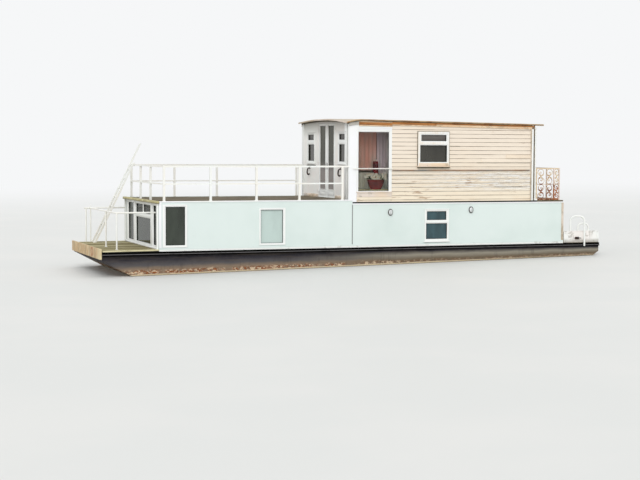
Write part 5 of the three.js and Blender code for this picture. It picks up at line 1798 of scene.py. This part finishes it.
# The shelf's top and brackets, and the bowl's and the lamp's places along the wall and into the room
SHELF_TOP = 2.732
SHELF_BRACKETS = (-0.15, 0.85)
BOWL_PLACE = Vector((0.400, 0.200, SHELF_TOP))
LAMP_PLACE = Vector((0.472, 0.395, SHELF_TOP))
# Profiles from the shelf up: height and radius
BOWL_PROFILE = ((0.0, 0.160), (0.02, 0.175), (0.10, 0.215), (0.20, 0.258), (0.27, 0.276), (0.296, 0.284))
LAMP_PROFILE = ((0.0, 0.092), (0.02, 0.096), (0.30, 0.090), (0.78, 0.086), (0.85, 0.070))
KNOB_PROFILE = ((0.848, 0.050), (0.875, 0.058), (0.905, 0.030), (0.915, 0.008))
BOWL_FLATNESS = 0.36
# How far the flowers spread from the bowl's place: along the wall, into the room and up
FLOWER_SPREAD = ((-0.34, 0.34), (-0.10, 0.04), (0.31, 0.47))
FLOWERS = 52
FLOWER_RADIUS = 0.042
PETALS = 5


def curtain(name, start, end, bottom, top, depth, folds, swing, seed):
    """A gathered curtain and its area: a fine grid whose folds swing in and out and drift as they fall."""
    chance = random.Random(seed)
    drift = [chance.uniform(-0.5, 0.5) for fold in range(4)]
    cloth = added(
        bpy.ops.mesh.primitive_grid_add, (end - start, top - bottom, 1), x_subdivisions=folds * 12,
        y_subdivisions=24, size=1, location=((start + end) / 2, depth, (bottom + top) / 2), rotation=UPRIGHT,
    )
    for corner in cloth.data.vertices:
        across = (corner.co.x - start) / (end - start)
        fall = (top - corner.co.z) / (top - bottom)
        wave = math.sin(2 * math.pi * folds * across + drift[0] + drift[1] * fall)
        small = math.sin(2 * math.pi * folds * 2.3 * across + drift[2] * 3 * fall)
        corner.co.y += swing * (wave + 0.25 * small) * (0.55 + 0.45 * fall)
    hand_in([smooth(cloth, 60)], name, name, NEAR)
    return cloth, sum(face.area for face in cloth.data.polygons)


def make_curtains():
    """Red and grey curtains behind the large window, over a low net, each gathered on its own pole."""
    for name, start, end, bottom, top, behind, folds, swing, seed in CURTAINS:
        depth, height = FRAME_BACK + behind, top + 0.008
        pole = soften(rod((start - 0.01, depth, height), (end + 0.01, depth, height), 0.007, 12), 0.001)
        hand_in([pole], f"{name}_pole", "lead_grey", NEAR)
        cloth, area = curtain(name, start, end, bottom, top, depth, folds, swing, seed)


def turned(profile, place, flatness=1.0):
    """A turned body that stands at a place, built up of tapers and made shallower by its flatness."""
    parts = []
    for (low, first), (high, last) in zip(profile, profile[1:]):
        parts.append(rod((0, 0, low - 0.001), (0, 0, high), first, 40, last))
    body = joined(parts)
    body.data.transform(Matrix.Translation(place) @ Matrix.Diagonal((1, flatness, 1, 1)))
    return smooth(body, 60)


def blossom(radius):
    """Petals round a centre, which face the window."""
    parts = []
    for turn in range(PETALS + 1):
        angle = turn * 2 * math.pi / PETALS
        reach = 0 if turn == PETALS else radius * 0.6
        parts.append(added(
            bpy.ops.mesh.primitive_ico_sphere_add, (1, 0.5, 1), subdivisions=1, radius=radius * 0.45,
            location=(reach * math.cos(angle), 0, reach * math.sin(angle)),
        ))
    return smooth(joined(parts), 60)


def make_shelf_things():
    """A shelf inside the large window, with a bowl of white flowers and a red lamp on it."""
    face = WALL_THICKNESS - 0.003
    shelf = [bar((-0.29, face, SHELF_TOP - 0.028), (1.05, 0.500, SHELF_TOP), 0.004)]
    for at in SHELF_BRACKETS:
        shelf.append(bar((at, face, SHELF_TOP - 0.16), (at + 0.03, 0.36, SHELF_TOP - 0.027), 0.004))
    hand_in(shelf, "window_shelf", "pale_timber", NEAR)
    bowl = turned(BOWL_PROFILE, BOWL_PLACE, BOWL_FLATNESS)
    hand_in([bowl], "flower_bowl", "red_glaze", NEAR)
    hand_in([turned(LAMP_PROFILE, LAMP_PLACE)], "window_lamp", "red_glaze", NEAR)
    hand_in([turned(KNOB_PROFILE, LAMP_PLACE)], "lamp_knob", "petals", NEAR)
    chance = random.Random(61)
    first = blossom(FLOWER_RADIUS)
    flowers, greens = [], []
    for flower in range(FLOWERS):
        offset = Vector([chance.uniform(*span) for span in FLOWER_SPREAD])
        at = BOWL_PLACE + offset
        flowers.append(copied(first, at))
        root = BOWL_PLACE + Vector((offset.x * 0.6, 0, 0.28))
        greens.append(rod(root, at, 0.003, 5))
        tip = (at.x + chance.uniform(-0.06, 0.06), at.z + chance.uniform(-0.05, 0.03))
        greens.append(leaf((root.x, root.z + 0.03), tip, at.y + 0.02, 0.016))
    bpy.data.objects.remove(first)
    hand_in(flowers, "flowers", "petals", NEAR)
    hand_in(greens, "flower_leaves", "leaves", NEAR)


# Rails, ladder and stern fittings

POST_PLACES = (-6.210, -4.830, -3.440, -2.110, -0.750)
POST = 0.060
RAIL_SIDE = 2.055
SLEEVE_HEIGHT = 0.05
# Heights of the sleeves on the roof rails' posts
SLEEVES = (2.925, 3.377)
# Round feet on the foredeck and the stern deck: along, across and the flange's radius
BOW_FEET = ((-7.500, -1.673, 0.046), (-7.532, -0.365, 0.046), (-7.500, 2.035, 0.046))
STERN_FEET = ((7.068, -2.000, 0.034), (7.367, -1.960, 0.048))
LADDER_FOOT_X = -7.495
LADDER_SIDES = (1.5675, 1.9525)
LADDER_FOOT_HEIGHTS = (1.0505, 1.085)
# Cells of the balcony's side panels, which each hold one of the frame's scrolls, and the panels' place
SCROLL_COLUMNS = ((5.826, 6.1205), (6.1205, 6.415), (6.451, 6.604))
SCROLL_ROWS = ((2.416, 2.860), (2.878, 3.344))
BALCONY_SIDE = 2.032
# Stations of a forged leaf from its root to its tip: share of its length, of its width and of its dish
LEAF_STATIONS = ((0.0, 0.25, 0.0), (0.25, 0.8, 0.35), (0.5, 1.0, 0.5), (0.75, 0.7, 0.35), (0.97, 0.12, 0.0))
COAMING_TOP = 1.200
BULWARK_WALL = 0.058
CAP_LIP = 0.008
CLEAT_PLACE = 7.264
CLEAT_HEIGHT = 1.155
# The downpipe's middle and radius, and the heights of its collars
PIPE_X, PIPE_Y = 5.745, -2.050
PIPE_RADIUS = 0.031
COLLARS = (2.62, 3.45, 4.28)


def bolt(at, radius, height):
    """A hexagonal bolt head that stands on a point."""
    return soften(rod(at, at + Vector((0, 0, height)), radius, 6), 0.001, 1)


def flange(place, half, thickness, bolt_reach):
    """A square base plate with four bolt heads."""
    x, y, z = place
    parts = [bar((x - half, y - half, z), (x + half, y + half, z + thickness), 0.002)]
    for dx in (-bolt_reach, bolt_reach):
        for dy in (-bolt_reach, bolt_reach):
            parts.append(bolt(Vector((x + dx, y + dy, z + thickness)), 0.007, 0.007))
    return joined(parts)


def round_flange(x, y, z, radius, post, thickness=0.006):
    """A round foot flange around a round post, with a raised neck and three bolts."""
    parts = [
        soften(rod((x, y, z), (x, y, z + thickness), radius, 32), 0.002),
        soften(rod((x, y, z + thickness - 0.001), (x, y, z + 0.026), post + 0.005, 24, post + 0.002), 0.001),
    ]
    reach = (radius + post + 0.005) / 2
    for turn in range(3):
        angle = turn * 2 * math.pi / 3
        at = Vector((x + reach * math.cos(angle), y + reach * math.sin(angle), z + thickness))
        parts.append(bolt(at, 0.004, 0.005))
    return joined(parts)


def post_sleeve(x, y, z):
    """A square sleeve around a rail's post."""
    outer, inner, half = POST / 2 + 0.004, POST / 2 - 0.002, SLEEVE_HEIGHT / 2
    sleeve = block((x - outer, y - outer, z - half), (x + outer, y + outer, z + half))
    cut(sleeve, (x - inner, y - inner, z - SLEEVE_HEIGHT), (x + inner, y + inner, z + SLEEVE_HEIGHT))
    return soften(sleeve, 0.001, 1)


def make_rail_fittings():
    """Base plates under the roof rails' posts and sleeves where the middle and top rails meet them."""
    x, y, floor = POST_PLACES[0], -RAIL_SIDE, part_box("roof_rail_near")[0].z
    first = [flange((x, y, floor), 0.044, 0.006, 0.036), *(post_sleeve(x, y, z) for z in SLEEVES)]
    fittings = list(first)
    for side in (0, 2 * RAIL_SIDE):
        for place in POST_PLACES:
            if side or place != x:
                fittings += [copied(piece, (place - x, side, 0)) for piece in first]
    hand_in(fittings, "roof_rail_fittings", "rail_paint")


def make_foot_flanges():
    """Round flanges under the foredeck rail's posts and the stern hoops."""
    bow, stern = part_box("foredeck")[1].z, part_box("stern_deck")[1].z
    flanges = [round_flange(x, y, bow, radius, 0.0225) for x, y, radius in BOW_FEET]
    flanges += [round_flange(x, y, stern, radius, 0.027) for x, y, radius in STERN_FEET]
    hand_in(flanges, "foot_flanges", "rail_paint")


def make_ladder_feet():
    """Sloped feet under the ladder's sides."""
    feet = []
    x, (low, high) = LADDER_FOOT_X, LADDER_FOOT_HEIGHTS
    for y in LADDER_SIDES:
        foot = block((x - 0.03, y - 0.03, low), (x + 0.055, y + 0.03, high))
        nudge(foot, lambda co: co.z > low + 0.02 and co.x > x, (0.015, 0, 0.04))
        feet.append(soften(foot, 0.006, 3))
    hand_in(feet, "ladder_feet", "rail_paint")


def leaf(root, tip, side, width):
    """A forged leaf: a flat blade that widens, dishes and ends in a point."""
    root, tip = Vector((root[0], 0, root[1])), Vector((tip[0], 0, tip[1]))
    run = tip - root
    across = Vector((run.z, 0, -run.x)).normalized()
    last = len(LEAF_STATIONS) - 1
    blade = added(bpy.ops.mesh.primitive_grid_add, x_subdivisions=2, y_subdivisions=last, size=1)
    for corner in blade.data.vertices:
        share, wide, dish = LEAF_STATIONS[round((corner.co.y + 0.5) * last)]
        middle = 1 - abs(corner.co.x) * 2
        at = root + run * share + across * (corner.co.x * 2 * wide * width)
        corner.co = at + Vector((0, side - dish * width * middle * 0.7, 0))
    shape_with(blade, "SOLIDIFY", thickness=0.005, offset=0)
    shape_with(blade, "SUBSURF", levels=1, render_levels=1)
    return smooth(blade, 60)


def boss(across, up, side, half, radius):
    """A short round boss that stands out on both faces of a panel."""
    return soften(rod((across, side - half, up), (across, side + half, up), radius, 12), 0.004)


def make_balcony_scrolls():
    """Forged leaves, a collar and two turned eyes on each scroll of the balcony's side panels."""
    parts = []
    for side in (-BALCONY_SIDE, BALCONY_SIDE):
        for column, (start, end) in enumerate(SCROLL_COLUMNS):
            for row, (bottom, top) in enumerate(SCROLL_ROWS):
                way = 1 if (column + row) % 2 == 0 else -1
                across, up = (start + end) / 2, (bottom + top) / 2
                radius = min((end - start) / 2, (top - bottom) / 4)
                parts.append(boss(across, up, side, 0.014, 0.019))
                for lift in (-1, 1):
                    parts.append(boss(across, up + lift * ((top - bottom) / 2 - radius), side, 0.012, 0.017))
                    root = (across, up + lift * 0.012)
                    tip = (across - way * lift * radius * 0.95, up + lift * 0.075)
                    parts.append(leaf(root, tip, side, 0.026))
                    tip = (across + way * lift * radius * 0.70, up + lift * 0.135)
                    parts.append(leaf(root, tip, side, 0.020))
    hand_in(parts, "balcony_leaves", "balcony_iron")


def make_stern_fittings():
    """The cappings of the bulwark and the coaming, and a staghorn cleat on each side of the stern."""
    low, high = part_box("stern_bulwark")
    near, far = low.y + BULWARK_WALL, high.y - BULWARK_WALL
    caps = []
    for start, end, height in (
        ((low.x + 0.005, low.y - CAP_LIP), (high.x, near), high.z),
        ((low.x + 0.005, far), (high.x, high.y + CAP_LIP), COAMING_TOP),
        ((high.x - BULWARK_WALL, near), (high.x + 0.004, far), COAMING_TOP),
    ):
        caps.append(bar((*start, height - 0.006), (*end, height + 0.012), 0.005, 3))
    hand_in(caps, "bulwark_cap", "bulwark_paint")
    z = CLEAT_HEIGHT
    for name, side, at in (("near", NEAR, CLEAT_PLACE), ("far", FAR, -CLEAT_PLACE)):
        parts = [bar((at - 0.07, -0.014, z - 0.04), (at + 0.07, 0, z + 0.037), 0.004)]
        parts.append(soften(rod((at, -0.075, z), (at, -0.004, z), 0.024, 20, 0.032), 0.004))
        for way in (-1, 1):
            horn = rod((at, -0.056, z), (at + way * 0.125, -0.066, z), 0.019, 16, 0.009)
            parts.append(soften(horn, 0.005, 3))
        hand_in(parts, f"stern_cleat_{name}", "black_iron", side)
    foot = bar((6.765, -0.004, 1.001), (8.055, 0.002, 1.018), 0.001)
    edge = bar((6.764, -0.005, 1.001), (6.782, 0.002, 1.372), 0.001)
    hand_in([foot, edge], "bulwark_joint", "groove_and_shade_grey", NEAR)


def make_pipe_fittings():
    """Collars, a head and a shoe on the downpipe, and a dark batten beside it that paints the shade there."""
    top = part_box("downpipe")[1].z
    x, y, radius = PIPE_X, PIPE_Y, PIPE_RADIUS
    parts = [soften(rod((x, y, z - 0.03), (x, y, z + 0.03), radius + 0.004, 24), 0.002) for z in COLLARS]
    head = rod((x, y, top - 0.06), (x, y, top + 0.004), radius + 0.003, 24, radius + 0.016)
    shoe = [(x, y, 2.44), (x, y, 2.405), (x + 0.02, y, 2.383), (x + 0.075, y, 2.385)]
    parts += [soften(head, 0.003), tube(shoe, radius + 0.002, 5)]
    hand_in(parts, "downpipe_fittings", "pipe_paint")
    # A dark batten that paints the shade in the gap between the corner board and the pipe
    start = (CABIN_BACK + 0.001, y - 0.03, CABIN_FLOOR + 0.06)
    batten = bar(start, (x - radius - 0.002, y + 0.03, roof_under(x) - 0.006), 0.003)
    hand_in([batten], "downpipe_batten", "groove_and_shade_grey")


class AddFinishes(bpy.types.Operator):
    """Make every finish and give the carried CAD nodes theirs"""

    bl_idname = "houseboat.finishes"
    bl_label = "Finishes"

    def execute(self, context):
        make_finishes()
        dress_frame()
        return {"FINISHED"}


class AddStage(bpy.types.Operator):
    """Add the camera, the floor at the waterline and the soft light"""

    bl_idname = "houseboat.stage"
    bl_label = "Stage"

    def execute(self, context):
        place_camera()
        lay_floor()
        light_stage()
        return {"FINISHED"}


class AddHull(bpy.types.Operator):
    """Add the strake, the weld seams, the decks' planks and the board across the bow"""

    bl_idname = "houseboat.hull"
    bl_label = "Hull and decks"

    def execute(self, context):
        make_strake_bars()
        make_hull_seams()
        lay_planks("foredeck", "foredeck_planks", 3)
        lay_planks("stern_deck", "stern_deck_planks", 5)
        make_bow_board()
        make_deck_edge()
        return {"FINISHED"}


class AddWindows(bpy.types.Operator):
    """Add the detailed windows on the near side, the front and the far side"""

    bl_idname = "houseboat.windows"
    bl_label = "Windows"

    def execute(self, context):
        make_windows()
        make_far_windows()
        make_leaded_lights()
        return {"FINISHED"}


class AddBowScreen(bpy.types.Operator):
    """Add the glazed bow screen and its blind"""

    bl_idname = "houseboat.bow_screen"
    bl_label = "Bow screen"

    def execute(self, context):
        make_bow_screen()
        make_blind()
        return {"FINISHED"}


class AddLowerCabin(bpy.types.Operator):
    """Add the lower cabin's trims, its oval lights and the roof deck's felt"""

    bl_idname = "houseboat.lower_cabin"
    bl_label = "Lower cabin"

    def execute(self, context):
        make_wall_trims()
        make_bulkhead_lights()
        make_felt_laps()
        return {"FINISHED"}


class AddUpperCabin(bpy.types.Operator):
    """Add the clapboards, corner boards, fascia, roof edges and front details"""

    bl_idname = "houseboat.upper_cabin"
    bl_label = "Upper cabin"

    def execute(self, context):
        make_siding_walls()
        make_open_laps()
        make_back_boards()
        make_corner_boards()
        make_near_panel_boards()
        make_front_details()
        make_fascia()
        make_roof_edges()
        make_roof_laps()
        return {"FINISHED"}


class AddDoors(bpy.types.Operator):
    """Add the doors' beads, panels and handles, each on its own leaf"""

    bl_idname = "houseboat.doors"
    bl_label = "Doors"

    def execute(self, context):
        make_door_details()
        make_stern_door_details()
        return {"FINISHED"}


class AddCurtains(bpy.types.Operator):
    """Add the curtains, the shelf, the flower bowl and the lamp behind the large window"""

    bl_idname = "houseboat.curtains"
    bl_label = "Curtains and shelf"

    def execute(self, context):
        make_curtains()
        make_shelf_things()
        return {"FINISHED"}


class AddRails(bpy.types.Operator):
    """Add the fittings of the rails, ladder, balcony, stern and downpipe"""

    bl_idname = "houseboat.rails"
    bl_label = "Rails and fittings"

    def execute(self, context):
        make_rail_fittings()
        make_foot_flanges()
        make_ladder_feet()
        make_balcony_scrolls()
        make_stern_fittings()
        make_pipe_fittings()
        return {"FINISHED"}


OPERATORS = (
    AddFinishes, AddStage, AddHull, AddWindows, AddBowScreen, AddLowerCabin, AddUpperCabin, AddDoors,
    AddCurtains, AddRails,
)


class HouseboatPanel(bpy.types.Panel):
    """Lists the houseboat's settings and pieces"""

    bl_idname = "VIEW3D_PT_houseboat"
    bl_label = "Houseboat"
    bl_space_type = "VIEW_3D"
    bl_region_type = "UI"
    bl_category = "Houseboat"

    def draw(self, context):
        for group in (context.scene.houseboat_colours, context.scene.houseboat_sizes):
            for name in group.__annotations__:
                self.layout.prop(group, name)
        for operator in OPERATORS:
            self.layout.operator(operator.bl_idname)


CLASSES = (HouseboatColours, HouseboatSizes, *OPERATORS, HouseboatPanel)


def register():
    for each in CLASSES:
        bpy.utils.register_class(each)
    bpy.types.Scene.houseboat_colours = bpy.props.PointerProperty(type=HouseboatColours)
    bpy.types.Scene.houseboat_sizes = bpy.props.PointerProperty(type=HouseboatSizes)


def unregister():
    del bpy.types.Scene.houseboat_sizes
    del bpy.types.Scene.houseboat_colours
    for each in reversed(CLASSES):
        bpy.utils.unregister_class(each)


def main():
    register()
    for operator in OPERATORS:
        family, name = operator.bl_idname.split(".")
        getattr(getattr(bpy.ops, family), name)()


if __name__ == "__main__":
    main()
